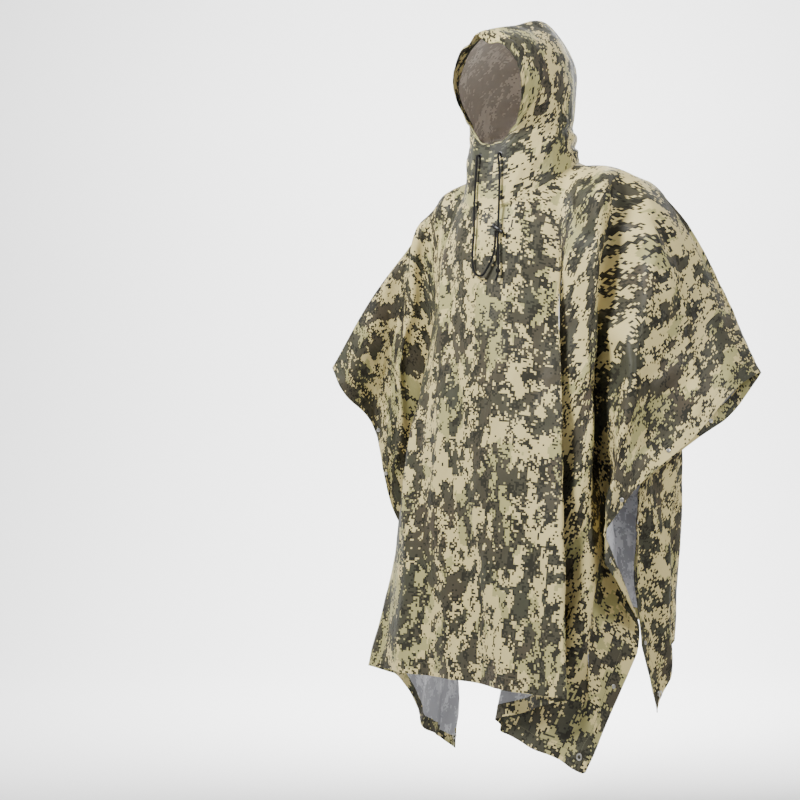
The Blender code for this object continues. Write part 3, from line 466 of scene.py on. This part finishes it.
def rounded(rails, softness):
    """Columns through rails (rail, level, 5): flat between rails, an arc at each of them."""
    columns = [rails[0]]
    for before, here, after, soft in zip(rails, rails[1:], rails[2:], softness[1:]):
        back, ahead = before - here, after - here
        back_run = norm(back[:, 3:], axis=1)[:, None]
        ahead_run = norm(ahead[:, 3:], axis=1)[:, None]
        half = soft[:, None] * np.minimum(back_run, ahead_run)
        first, last = here + back / back_run * half, here + ahead / ahead_run * half
        down = np.gradient(here[:, :3], axis=0)
        down /= norm(down, axis=1)[:, None]
        legs = []
        for leg in (back[:, :3], ahead[:, :3]):
            leg = leg - down * np.sum(leg * down, axis=1)[:, None]
            legs.append(leg / np.maximum(norm(leg, axis=1), 1e-9)[:, None])
        weight = np.sqrt(np.clip(1 - np.sum(legs[0] * legs[1], axis=1), 0, 2) / 2)[:, None]
        weight = np.maximum(weight, SHARPEST)
        for t in np.linspace(0, 1, CORNER_COLUMNS):
            a, b, c = (1 - t) ** 2, 2 * t * (1 - t) * weight, t ** 2
            columns.append((a * first + b * here + c * last) / (a + b + c))
    columns.append(rails[-1])
    filled = columns[:1]
    for column in columns[1:]:
        wide = norm((column - filled[-1])[:, 3:], axis=1).max()
        parts = max(1, ceil(wide / WIDEST_STEP))
        last = filled[-1]
        filled += [last + (column - last) * k / parts for k in range(1, parts + 1)]
    return filled


def half_panel(panel, side):
    """Columns of half a panel from the centre to the arm, on its own side."""
    rails, softness = [], []
    for row in SIDES[(panel, side)]:
        body = np.linspace(0, 1, LEVELS) ** 1.12 * hem_share(row, HEM + 0.004)
        hem = [hem_share(row, inset) for inset in HEM_ROWS]
        shares = np.concatenate([body, hem])
        rails.append(rail_points(row, panel, side, shares))
        soft = row.soft + (SOFT_TOP - row.soft) * np.clip(1 - shares / SOFT_UNTIL, 0, 1) ** 2
        if row.name == "corner":
            soft *= 1 - 0.93 * shares ** 4
        softness.append(soft)
    columns = rounded(rails, softness)
    neck_side = min(columns, key=lambda column: abs(column[0, 3] - NECK_HALF_WIDTH))
    neck_side[0, 3] = NECK_HALF_WIDTH
    for column in columns:
        s = column[0, 3]
        if s < NECK_HALF_WIDTH - 1e-6:
            top = NECK_ALONG * asin(max(s, 0.0) / NECK_HALF_WIDTH) / (pi / 2)
        else:
            top = s - NECK_HALF_WIDTH + NECK_ALONG
        point, flat = top_edge(panel, side, top)
        column[0] = [*point, *flat]
    grid = np.array(columns)
    grid[:, :, [0, 3]] *= side
    return grid


def panel_grid(panel):
    """Surface of a panel as (column, level, 5), from the wearer's right to the left."""
    right, left = half_panel(panel, -1), half_panel(panel, 1)
    return np.concatenate([right[::-1], left[1:]])


def smooth_step(value, low, high):
    t = np.clip((value - low) / (high - low), 0, 1)
    return t * t * (3 - 2 * t)


def bell(value, width):
    """1 at zero, and smoothly down to almost nothing at two widths."""
    return np.exp(-(value / width) ** 2)


def crease_height(u, v, rows, u_unit=1.0):
    """Height of slightly bowed creases at places (u, v); u is in units of u_unit."""
    total = np.zeros_like(u)
    for row in rows:
        run = np.array([(row.s1 - row.s0) / u_unit, row.r1 - row.r0])
        du, dv = (u - row.s0) / u_unit, v - row.r0
        along = (du * run[0] + dv * run[1]) / (run @ run)
        bow = 0.06 * norm(run) * np.sin(pi * np.clip(along, 0, 1) * 2)
        across = (du * run[1] - dv * run[0]) / norm(run) + bow
        taper = np.sin(pi * np.clip(along, 0, 1)) ** 0.6
        total += row.height * taper * bell(across, row.width)
    return total


def noise_at(u, v, scale_u, scale_v, seed):
    """Smooth noise from -1 to 1 over a grid of places."""
    flat = [noise.fractal(Vector((a * scale_u, b * scale_v, seed)), 1.0, 2.0, 3)
            for a, b in zip(u.ravel(), v.ravel())]
    return np.array(flat).reshape(u.shape)


def slack_height(u, v, layers, seed):
    """Height of layers of slack, each with a seed of its own."""
    return sum(row.height * noise_at(u, v, row.across, row.down, seed + k) for k, row in enumerate(layers))


def edge_distance(s, r):
    """Distance on the cut from the nearest outer edge."""
    return np.minimum(HALF_WIDTH - np.abs(s), LENGTH - np.abs(r))


def relief(panel, s, r):
    """Height of a panel's creases, slack, hem puckers and seams."""
    seed = SEED[panel]
    sway = SWAY[panel] * smooth_step(r, 0.15, 0.9) * np.sin(
        2 * pi * s / SWAY_WIDTH + 1.8 * np.sin(3.1 * r) + 2.2 * np.sin(4.3 * s + seed) + seed)
    height = CREASE_GAIN * crease_height(s, r, CREASES[panel]) + slack_height(s, r, SLACK, seed) + sway
    edge = edge_distance(s, r)
    along = np.where(HALF_WIDTH - np.abs(s) < LENGTH - r, r, s)
    pucker = noise_at(along, edge * 0, PUCKER_WAVES, 1.0, seed + 2)
    height += PUCKER.height * pucker * bell(edge - STITCH, PUCKER.width)
    for row in SETTINGS:
        for side in (1, -1):
            away = np.hypot(s - side * (HALF_WIDTH - row.inset), r - row.r)
            height *= 1 - 0.9 * bell(away, SETTING_CALM)
    if panel == "front":
        away = np.hypot(s / CORD_CALM.half_width, (r - CORD_CALM.middle) / CORD_CALM.half_length)
        height *= smooth_step(away, 0.6, 1.2)
    height *= smooth_step(r, 0.0, 0.06)
    neck = np.abs(np.hypot(s / NECK_HALF_WIDTH, r / NECK[panel].cut_r) - 1) * NECK[panel].cut_r
    neck = np.where(np.hypot(s, r) < 0.2, neck, 1.0)
    height *= smooth_step(neck, 0.0, 0.05)
    height -= NECK_GROOVE.height * bell(neck, NECK_GROOVE.width)
    return height - STITCH_GROOVE.height * bell(edge - STITCH, STITCH_GROOVE.width)


def add_object(name, data, slot=None):
    """A new object; with a slot it is a piece of the garment."""
    made = bpy.data.objects.new(name, data)
    bpy.context.collection.objects.link(made)
    if slot:
        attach(made, "root")
    return made


def grid_cells(columns, levels):
    """Corners of a grid's cells, as (cell, corner)."""
    index = np.arange(columns * levels).reshape(columns, levels)
    return np.stack([index[:-1, :-1], index[1:, :-1], index[1:, 1:], index[:-1, 1:]], -1).reshape(-1, 4)


def shell(name, outer, normal, depth, uv, turned, printed, materials):
    """Thin closed cloth on a grid; printed says where the inside shows the print."""
    shift = depth.size
    cells = grid_cells(*depth.shape)
    faces = np.stack([cells, cells[:, (0, 3, 2, 1)] + shift], 1).reshape(-1, 4).tolist()
    coated = ~(printed[:-1, :-1] & printed[1:, 1:])
    slots = np.stack([0 * coated, coated], -1).ravel().tolist()
    index = np.arange(shift).reshape(depth.shape)
    rim = np.concatenate([index[:, 0], index[-1, 1:], index[-2::-1, -1], index[0, -2:0:-1]]).tolist()
    faces += [(b, a, a + shift, b + shift) for a, b in zip(rim, rim[1:] + rim[:1])]
    slots += [0] * len(rim)
    if turned:
        faces = [face[::-1] for face in faces]
    mesh = bpy.data.meshes.new(name)
    points = np.vstack([outer.reshape(-1, 3), (outer - normal * depth[:, :, None]).reshape(-1, 3)])
    mesh.from_pydata(points.tolist(), [], faces)
    mesh.polygons.foreach_set("material_index", slots)
    layer = mesh.uv_layers.new(name="cut")
    corners = np.empty(len(mesh.loops), int)
    mesh.loops.foreach_get("vertex_index", corners)
    layer.data.foreach_set("uv", np.vstack([uv.reshape(-1, 2)] * 2)[corners].ravel())
    for made in materials:
        mesh.materials.append(made)
    mesh.shade_smooth()
    both = np.vstack([normal.reshape(-1, 3), -normal.reshape(-1, 3)])
    mesh.normals_split_custom_set_from_vertices(both.tolist())
    return add_object(name, mesh, "printed_cloth")


def make_panel(panel, materials):
    """Half of the sheet; returns its grid and normals for what is set in it."""
    grid = panel_grid(panel)
    s, r = grid[:, :, 3], grid[:, :, 4]
    flip = panel == "front"
    outer = grid[:, :, :3] + normals_of(grid[:, :, :3], flip) * relief(panel, s, r)[:, :, None]
    normal = normals_of(outer, flip)
    for column, level in np.argwhere(r < 1e-9):
        normal[column, level] = arm_normal(1 if s[column, level] > 0 else -1, abs(s[column, level]))
    for i in np.flatnonzero(np.abs(s[:, 0]) < NECK_HALF_WIDTH + 1e-6):
        normal[i, 0] = seam_normal(*outer[i, 0, :2])
    edge = edge_distance(s, r)
    depth = SHEET + (HEMMED - SHEET) * (1 - smooth_step(edge, HEM, HEM + 0.002))
    uv = np.stack([s, -r if flip else r], axis=2)
    piece = shell("sheet_" + panel, outer, normal, depth, uv, flip, edge < HEM + 0.0001, materials)
    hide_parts(panel + "_panel")
    return np.concatenate([outer, grid[:, :, 3:]], axis=2), normal


def hood_base():
    """Surface of the hood's left half as (place round the neck, row up the hoop, 3)."""
    marks = [hoop.foot_deg for hoop in HOOD_HOOPS]
    columns = []
    for angle in HOOD_DEGREES:
        panel, turn = ("front", angle) if angle <= 90 else ("back", 180 - angle)
        foot = top_edge(panel, 1, NECK_ALONG * turn / 90)[0]
        points = [hermite(marks, [getattr(hoop, name) for hoop in HOOD_HOOPS], angle)
                  for name in ("jaw", "cheek", "temple", "brow", "ridge")]
        columns.append([foot + (points[0] - foot) * row if row < 1 else
                        hermite(range(1, 6), points, row) for row in HOOD_ROWS])
    grid = np.array(columns)
    chin = bell(grid[:, :, 0] - CHIN_SAG.x, CHIN_SAG.width) * (HOOD_ROWS >= 1)
    grid[:, :, 2] -= CHIN_SAG.depth * chin * bell(HOOD_DEGREES[:, None], CHIN_SAG.degrees)
    return grid


def hood_relief(face_run, seed):
    """Height of the hood's creases, face edge and seams, and how scrunched that edge is."""
    a, b = np.meshgrid(HOOD_DEGREES, HOOD_ROWS, indexing="ij")
    height = crease_height(a, b, HOOD_CREASES, HOOD_DEGREES_PER_ROW) + slack_height(a, b, HOOD_SLACK, seed)
    height *= smooth_step(b, 0.0, 0.25) * smooth_step(5 - b, 0, 0.25)
    height *= smooth_step(a, 0, 10) * smooth_step(180 - a, 0, 8)
    height *= np.maximum(smooth_step(a, *NECK_CALM), smooth_step(b, 1.0, 1.6))
    pucker = smooth_step(b, 0.95, 1.30) * noise_at(face_run, a * 0, FACE_PUCKER_WAVES, 1.0, seed + 2)
    fade = np.where(a < CHANNEL_DEGREES, 1.0, np.exp(-((a - CHANNEL_DEGREES) / 13.0)))
    tube = FACE_ROLL * np.sin(pi * np.clip(a / CHANNEL_DEGREES, 0, 1)) ** 0.7
    tube -= CHANNEL_GROOVE.height * bell(a - CHANNEL_DEGREES, CHANNEL_GROOVE.width)
    height += FACE_PUCKER * pucker * fade + smooth_step(b, 0.95, 1.30) * tube
    height -= FOOT_GROOVE.height * bell(b, FOOT_GROOVE.width)
    height -= CROWN_GROOVE.height * bell(5 - b, CROWN_GROOVE.width)
    return height, pucker * np.exp(-a / 5.0)


def make_hood(materials):
    """The two halves of the hood, which meet at the seam over the crown."""
    half = hood_base()
    run = np.array([runs(column) for column in half])
    round_run = runs(half[:, len(HOOD_ROWS) // 2])
    area = float(norm(across_cells(half), axis=2).sum() / 2)
    depth = np.full(run.shape, SHEET)
    depth[HOOD_DEGREES <= CHANNEL_DEGREES, :] = HEMMED
    printed = np.broadcast_to((HOOD_DEGREES <= FACING_DEGREES)[:, None], run.shape)
    seams = (np.s_[:, -1], np.s_[-1, :], np.s_[0, :NECK_ROWS])
    for word, side, seed in (("left", 1, 21.0), ("right", -1, 33.0)):
        height, scrunch = hood_relief(np.broadcast_to(run[0], run.shape) + seed, seed)
        outer = half + normals_of(half, False) * height[:, :, None]
        outer[:, :, 1] += 0.0022 * scrunch
        for seam in seams:
            outer[seam][..., 0] = 0
        normal = normals_of(outer, False)
        for column in range(len(outer)):
            normal[column, 0] = seam_normal(*outer[column, 0, :2])
        for seam in seams:
            flat = normal[seam] * (0.15, 1, 1)
            normal[seam] = flat / norm(flat, axis=-1)[..., None]
        uv = np.stack([side * (round_run[:, None] + 0 * run), run], axis=2) + HOOD_ON_CLOTH
        outer, normal = outer * (side, 1, 1), normal * (side, 1, 1)
        piece = shell("hood_cloth_" + word, outer, normal, depth, uv, side < 0, printed, materials)
        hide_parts("hood_" + word)


def at_cut(grid, normals, s, r):
    """Point and outward normal of a panel's surface at a place on the cut."""
    cells = grid_cells(*grid.shape[:2])
    corners = np.concatenate([cells[:, :3], cells[:, (0, 2, 3)]])
    flat = np.concatenate([grid[:, :, 3:], np.zeros(grid.shape[:2] + (1,))], axis=2).reshape(-1, 3)
    near = norm(flat[:, :2] - (s, r), axis=1) < 0.04
    corners = corners[near[corners].any(axis=1)]
    tree = BVHTree.FromPolygons(flat.tolist(), corners.tolist())
    spot, _, face, _ = tree.find_nearest((s, r, 0.0))
    corner = list(corners[face])
    from_flat = [Vector(v) for v in flat[corner]]
    point, normal = (
        barycentric_transform(spot, *from_flat, *[Vector(v) for v in values.reshape(-1, 3)[corner]])
        for values in (grid[:, :, :3], normals))
    return point, normal.normalized()


def turned_piece(name, profile, centre, axis, made, slot, sides=40):
    """A round piece from a closed or capped profile of (radius, place along the axis)."""
    work = bmesh.new()
    turns = [2 * pi * k / sides for k in range(sides)]
    rings = []
    for radius, place in profile:
        ring = turns if radius else turns[:1]
        rings.append([work.verts.new((radius * cos(t), radius * sin(t), place)) for t in ring])
    closed = profile[0][0] > 0
    for low, high in zip(rings, rings[1:] + (rings[:1] if closed else [])):
        for k in range(sides):
            corners = [ring[place % sides % len(ring)]
                       for ring, place in ((low, k), (low, k + 1), (high, k + 1), (high, k))]
            work.faces.new(list(dict.fromkeys(corners)))
    bmesh.ops.recalc_face_normals(work, faces=work.faces)
    turn = Vector(axis).to_track_quat("Z", "Y").to_matrix().to_4x4()
    bmesh.ops.transform(work, matrix=Matrix.Translation(centre) @ turn, verts=work.verts)
    mesh = bpy.data.meshes.new(name)
    work.to_mesh(mesh)
    work.free()
    mesh.shade_smooth()
    mesh.materials.append(made)
    return add_object(name, mesh, slot)


def arc(centre, radius, start, end, steps=5):
    """Points of a profile on an arc, in degrees from outwards towards up."""
    angles = [radians(start + (end - start) * k / steps) for k in range(steps + 1)]
    return [(centre[0] + radius * cos(t), centre[1] + radius * sin(t)) for t in angles]


def ring_profile(kind):
    """A rolled eyelet: a rounded lip on each face of the cloth and a barrel between."""
    half, roll = kind.grip / 2, kind.lip / 2
    lip = arc((kind.flange - roll, half + roll), roll, -90, 90)
    upper = lip + arc((kind.bore + 2 * roll, half), 2 * roll, 90, 180)
    return upper + [(radius, -place) for radius, place in reversed(upper)]


def snap_profile():
    """A press stud: a shallow cap outside, a ringed socket inside."""
    half = HEMMED / 2
    return [(0.0, half + SNAP_CAP), (0.0022, half + SNAP_CAP * 0.96),
            *arc((0.0036, half + SNAP_CAP * 0.42), SNAP_CAP * 0.45, 70, -60),
            (0.0040, half), (0.0016, half - 0.0001), (0.0016, -half), (0.0042, -half),
            *arc((0.0040, -half - 0.0006), 0.0006, 30, -90),
            (0.0030, -half - 0.0012), (0.0026, -half - 0.0004), (0.0, -half - 0.0004)]


def set_metal(panel, grid, normals, metal):
    """Corner eyelets and side snaps of one panel."""
    profiles = {"ring": ring_profile(CORNER_EYELET), "stud": snap_profile()}
    for side, word in ((1, "left"), (-1, "right")):
        for row in SETTINGS:
            point, normal = at_cut(grid, normals, side * (HALF_WIDTH - row.inset), row.r)
            end = f"_{panel}_{word}{row.number}"
            piece = turned_piece(row.piece + end, profiles[row.piece], point - normal * HEMMED / 2,
                                 normal, metal, "dull_metal")
            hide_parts(row.node + end)


def add_cord(name, points, made, capped=True):
    """A round cord through points that lie close together."""
    curve = bpy.data.curves.new(name, "CURVE")
    curve.dimensions = "3D"
    curve.bevel_depth = CORD_DIAMETER / 2
    curve.bevel_resolution = 4
    curve.use_fill_caps = capped
    line = curve.splines.new("POLY")
    line.points.add(len(points) - 1)
    for spot, point in zip(line.points, points):
        spot.co = (*point, 1)
    curve.materials.append(made)
    return add_object(name, curve, "black_cord")


def make_strand(name, route, made):
    """A cord along a smooth curve through its route, and its length."""
    last = len(route) - 1
    points = [hermite(range(last + 1), route, place) + np.array(CORD_LIFT) * min(place / LIFT_ROWS, 1)
              for place in np.linspace(0, last, CORD_STEPS * last + 1)]
    return add_cord(name, points, made), float(runs(points)[-1])


def make_knot(made):
    """A small overhand knot pulled tight."""
    axis = Vector(KNOT_AXIS)
    across = axis.orthogonal().normalized()
    beside = axis.cross(across).normalized()
    turns = []
    for k in range(KNOT_STEPS + 1):
        t = 2 * pi * k / KNOT_STEPS
        x, y = sin(t) + 1.6 * sin(2 * t), cos(t) - 1.6 * cos(2 * t)
        turn = (across * x + beside * y) * KNOT_RADIUS - axis * sin(3 * t) * KNOT_RISE
        turns.append(Vector(KNOT_CENTRE) + Vector(CORD_LIFT) + turn)
    knot = add_cord("knot", turns, made, capped=False)
    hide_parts("cord_knot")
    return knot


def make_lock(made):
    """A barrel cord lock with its button, a waist and a rounded end."""
    profile = [
        (0.0, -0.0135), *arc((0.0040, -0.0122), 0.0013, -90, 0), (0.0053, -0.0060), (0.0050, -0.0056),
        (0.0053, -0.0052), (0.0053, 0.0026), *arc((0.0044, 0.0037), 0.0009, 0, 90), (0.0034, 0.0048),
        (0.0034, 0.0080), (0.0043, 0.0086), *arc((0.0038, 0.0120), 0.0010, 0, 90), (0.0, 0.0132)]
    centre = Vector(LOCK_CENTRE) + Vector(CORD_LIFT)
    lock = turned_piece("lock", profile, centre, LOCK_AXIS, made, "black_plastic", 48)
    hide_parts("cord_lock")
    return lock


class Nodes:
    """A material's node tree, with short ways to add and join its nodes."""

    def __init__(self, name):
        self.material = bpy.data.materials.new(name)
        self.material.use_nodes = True
        self.tree = self.material.node_tree
        self.shader = self.tree.nodes["Principled BSDF"]

    def add(self, kind, inputs=(), **settings):
        node = self.tree.nodes.new(kind)
        for key, value in settings.items():
            setattr(node, key, value)
        self.give(node, inputs)
        return node

    def give(self, node, inputs):
        """Join or set a node's inputs; a colour has three numbers."""
        for key, value in dict(inputs).items():
            if isinstance(value, bpy.types.NodeSocket):
                self.tree.links.new(value, node.inputs[key])
            elif node.inputs[key].type == "RGBA":
                node.inputs[key].default_value = (*value, 1.0)
            else:
                node.inputs[key].default_value = value

    def surface(self, **inputs):
        """Join or set the shader's inputs, with _ for a space."""
        self.give(self.shader, {key.replace("_", " "): value for key, value in inputs.items()})
        return self.material

    def cut(self):
        return self.add("ShaderNodeUVMap", uv_map="cut").outputs[0]

    def math(self, operation, a, b=0.0, c=0.0):
        return self.add("ShaderNodeMath", {0: a, 1: b, 2: c}, operation=operation).outputs[0]

    def vector(self, operation, a, b):
        return self.add("ShaderNodeVectorMath", {0: a, 1: b}, operation=operation).outputs[0]

    def mix(self, share, a, b):
        return self.add("ShaderNodeMix", {0: share, 6: a, 7: b}, data_type="RGBA").outputs[2]

    def above(self, value, limit):
        return self.math("GREATER_THAN", value, limit)

    def off(self, value, middle):
        return self.math("ABSOLUTE", self.math("SUBTRACT", value, middle))

    def share(self, value, step):
        return self.math("FRACT", self.math("DIVIDE", value, step))

    def noise(self, place, scale, detail=2.0, rough=0.5, seed=0.0):
        moved = self.vector("ADD", place, (seed, seed * 0.7, seed * 1.3))
        inputs = {"Vector": moved, "Scale": scale, "Detail": detail, "Roughness": rough}
        return self.add("ShaderNodeTexNoise", inputs).outputs["Fac"]


def print_colour(nodes, cut):
    """A pixelled blotch print in sand, olive, grey and dark, on the flat cut."""
    squares = nodes.vector("SNAP", cut, (CELL, CELL, CELL))
    long_way = nodes.vector("MULTIPLY", squares, LONG_WAY)
    white = nodes.add("ShaderNodeTexWhiteNoise", {"Vector": squares}).outputs["Value"]
    stray = nodes.math("SUBTRACT", white, 0.5)
    light_field, blotch, cluster, hole = (
        nodes.math("MULTIPLY_ADD", stray, row.stray, nodes.noise(long_way, *row[:4]))
        for row in (LIGHT, BLOTCH, CLUSTER, HOLE))
    light = nodes.mix(nodes.above(light_field, LIGHT.start), SAND, PALE_OLIVE)
    tone = nodes.noise(cut, 7.0, 2.0, 0.5, 11.0)
    middle = nodes.mix(nodes.math("MULTIPLY_ADD", tone, 2.6, -1.0), GREY, BROWN)
    colour = nodes.mix(nodes.above(blotch, BLOTCH.start), light, DARK)
    colour = nodes.mix(nodes.above(blotch, BLOTCH.start + BLOTCH_RIM), colour, middle)
    colour = nodes.mix(nodes.above(cluster, CLUSTER.start), colour, DARK)
    return nodes.mix(nodes.above(hole, HOLE.start), colour, light)


def stitch_mask(nodes, cut):
    """Dashed hem stitches beside the edges of the cut."""
    s, r = nodes.add("ShaderNodeSeparateXYZ", {0: cut}).outputs[:2]
    masks = []
    for half, across, along in ((HALF_WIDTH, s, r), (LENGTH, r, s)):
        inset = nodes.math("SUBTRACT", half, nodes.math("ABSOLUTE", across))
        on_line = nodes.math("LESS_THAN", nodes.off(inset, STITCH), STITCH_HALF_WIDTH)
        dash = nodes.math("LESS_THAN", nodes.share(along, STITCH_STEP), STITCH_SHARE)
        masks.append(nodes.math("MULTIPLY", on_line, dash))
    return nodes.math("MAXIMUM", *masks)


def bumped(nodes, *layers):
    """Bump from (height, strength, distance) layers, finest last."""
    below = {}
    for height, strength, distance in layers:
        inputs = {"Height": height, "Strength": strength, "Distance": distance, **below}
        below = {"Normal": nodes.add("ShaderNodeBump", inputs).outputs[0]}
    nodes.surface(**below)


def woven(nodes, cut, crinkle, crinkle_depth, weave):
    """Bump of the cloth: crinkles, and a plain weave with ripstop squares."""
    lines = [nodes.above(nodes.off(nodes.share(way, RIPSTOP), 0.5), 0.43)
             for way in nodes.add("ShaderNodeSeparateXYZ", {0: cut}).outputs[:2]]
    threads = nodes.math("MULTIPLY_ADD", nodes.math("MAXIMUM", *lines), 0.6, nodes.noise(cut, 1500.0, 1.0))
    folds = nodes.noise(nodes.vector("MULTIPLY", cut, LONG_WAY), 38.0, 4.0, 0.55, 7.0)
    bumped(nodes, (folds, crinkle, crinkle_depth), (threads, weave, WEAVE_DEPTH))


def cloth_out(name):
    """Printed side: coated plain weave with a soft sheen."""
    nodes = Nodes(name)
    cut = nodes.cut()
    woven(nodes, cut, 0.8, 0.0045, 0.12)
    colour = nodes.mix(stitch_mask(nodes, cut), print_colour(nodes, cut), THREAD)
    worn = nodes.math("MULTIPLY", nodes.noise(cut, 5.0, 3.0, 0.5, 3.0), 0.05)
    return nodes.surface(Base_Color=nodes.mix(worn, colour, WORN), Roughness=0.52,
                         Specular_IOR_Level=0.14, Sheen_Weight=0.02, Sheen_Roughness=0.45)


def cloth_in(name, coat, shade):
    """Coated inner side, with the print showing through faintly."""
    nodes = Nodes(name)
    cut = nodes.cut()
    woven(nodes, cut, 0.5, 0.0035, 0.08)
    grey = nodes.add("ShaderNodeRGBToBW", {0: print_colour(nodes, cut)}).outputs[0]
    share = nodes.math("MULTIPLY_ADD", grey, -1.9, 0.95)
    return nodes.surface(Base_Color=nodes.mix(share, coat, shade), Roughness=0.42, Specular_IOR_Level=0.45)


def dull_metal(name):
    """Worn nickel, rougher where it is paler."""
    nodes = Nodes(name)
    place = nodes.add("ShaderNodeTexCoord").outputs["Object"]
    worn = nodes.noise(place, 420.0, 4.0, 0.6)
    bumped(nodes, (nodes.noise(place, 900.0, 3.0), 0.2, 0.0003))
    return nodes.surface(Base_Color=nodes.mix(worn, (0.30, 0.29, 0.26), (0.62, 0.60, 0.55)), Metallic=1.0,
                         Roughness=nodes.math("MULTIPLY_ADD", worn, 0.35, 0.18))


def black_cord(name):
    """Round braid: two crossing sets of slanted strands, with painted shade in the grooves between them."""
    nodes = Nodes(name)
    waves = {"Vector": nodes.add("ShaderNodeTexCoord").outputs["Object"], "Scale": 420.0,
             "Distortion": 1.2, "Detail": 1.0}
    braid = nodes.math("MULTIPLY", *(nodes.add("ShaderNodeTexWave", waves, bands_direction=way).outputs["Fac"]
                                     for way in ("DIAGONAL", "Z")))
    bumped(nodes, (braid, 0.5, 0.0006))
    # painted shade: the colour is darker where the braid's bump is low, in the grooves
    return nodes.surface(Base_Color=nodes.mix(braid, (0.003,) * 3, (0.012,) * 3),
                         Roughness=0.75, Specular_IOR_Level=0.2)


def black_plastic(name):
    """Moulded plastic with a fine grain."""
    nodes = Nodes(name)
    grain = nodes.noise(nodes.add("ShaderNodeTexCoord").outputs["Object"], 1300.0, 2.0)
    bumped(nodes, (grain, 0.15, 0.0003))
    return nodes.surface(Base_Color=nodes.mix(grain, (0.004,) * 3, (0.009, 0.009, 0.010)),
                         Roughness=nodes.math("MULTIPLY_ADD", grain, 0.25, 0.28))


def make_drawcord(cord, plastic):
    """Two cord eyelets, two strands, the lock and the knot."""
    for side, word in ((1, "left"), (-1, "right")):
        centre, axis = (Vector(v) * Vector((side, 1, 1)) for v in (CORD_EYELET_CENTRE, CORD_EYELET_AXIS))
        ring = turned_piece("cord_ring_" + word, ring_profile(CORD_EYELET), centre, axis,
                            plastic, "dull_metal")
        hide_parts("cord_eyelet_" + word)
    lock, knot = make_lock(plastic), make_knot(cord)
    for word, route, far_end, fittings, nodes in (
            ("left", STRAND_LEFT, "knot", [lock, knot], ("drawcord_left", "drawcord_tail", "drawcord_end")),
            ("right", STRAND_RIGHT, "fitting", [lock], ("drawcord_right",))):
        strand, length = make_strand("strand_" + word, route, cord)
        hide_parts(*nodes)


def make_stage():
    """A pale floor that sweeps up behind the garment."""
    bend = [(STAGE.bend + STAGE.radius * sin(t), FLOOR + STAGE.radius * (1 - cos(t)))
            for t in np.linspace(0.1, pi / 2, 14)]
    profile = [(STAGE.near, FLOOR), (STAGE.bend, FLOOR), *bend, (STAGE.bend + STAGE.radius, STAGE.top)]
    across = np.array([AWAY[1], -AWAY[0]])
    points = [(*(AWAY * depth + across * side), z)
              for depth, z in profile for side in (-STAGE.half_width, STAGE.half_width)]
    faces = [(2 * k, 2 * k + 1, 2 * k + 3, 2 * k + 2) for k in range(len(profile) - 1)]
    mesh = bpy.data.meshes.new("backdrop")
    mesh.from_pydata(points, [], faces)
    mesh.shade_smooth()
    mesh.materials.append(Nodes("pale backdrop").surface(Base_Color=(0.86, 0.86, 0.86), Roughness=0.9))
    add_object("backdrop", mesh)


def make_lights():
    """Soft lamps on the garment, a level one for the backdrop, and a pale world."""
    for row in LAMPS:
        lamp = bpy.data.lights.new(row.name, "AREA")
        lamp.shape, lamp.size, lamp.energy = "DISK", row.size, row.power
        lit = add_object(row.name, lamp)
        outwards = Vector((sin(radians(row.azimuth)), -cos(radians(row.azimuth)), 0.0))
        lit.location = (*(outwards * row.distance).xy, row.height)
        look = outwards if row.name == "sweep" else Vector(LAMP_TARGET) - lit.location
        lit.rotation_euler = look.to_track_quat("-Z", "Y").to_euler()
        lit.visible_camera = False
    world = bpy.data.worlds.new("studio")
    world.use_nodes = True
    sky = world.node_tree.nodes["Background"].inputs
    sky["Color"].default_value = (1.0, 1.0, 1.0, 1.0)
    sky["Strength"].default_value = WORLD_STRENGTH
    bpy.context.scene.world = world


def make_camera():
    data = bpy.data.cameras.new("camera")
    data.lens, data.sensor_width, data.shift_x = LENS, 36.0, SHIFT_X
    camera = add_object("camera", data)
    camera.location = (*(-CAMERA_DISTANCE * AWAY), CAMERA_HEIGHT)
    camera.rotation_euler = (pi / 2, 0, CAMERA_AZIMUTH)
    bpy.context.scene.camera = camera


def main():
    make_camera()
    metal = dull_metal("dull metal")
    cord, plastic = black_cord("black cord"), black_plastic("black plastic")
    make_drawcord(cord, plastic)
    outside = cloth_out("printed cloth")
    inside = cloth_in("coated inside", (0.52, 0.52, 0.54), (0.27, 0.27, 0.29))
    # painted light and shade: the hood's inside is the same coated cloth as the body's inside, painted warmer
    # for the warm shade inside the hood and brighter to light it
    hood_inside_painted_light = cloth_in("coated inside of the hood, with painted light", (0.95, 0.87, 0.78), (0.60, 0.54, 0.48))
    for panel in ("front", "back"):
        grid, normals = make_panel(panel, [outside, inside])
        set_metal(panel, grid, normals, metal)
    make_hood([outside, hood_inside_painted_light])
    make_stage()
    make_lights()


main()
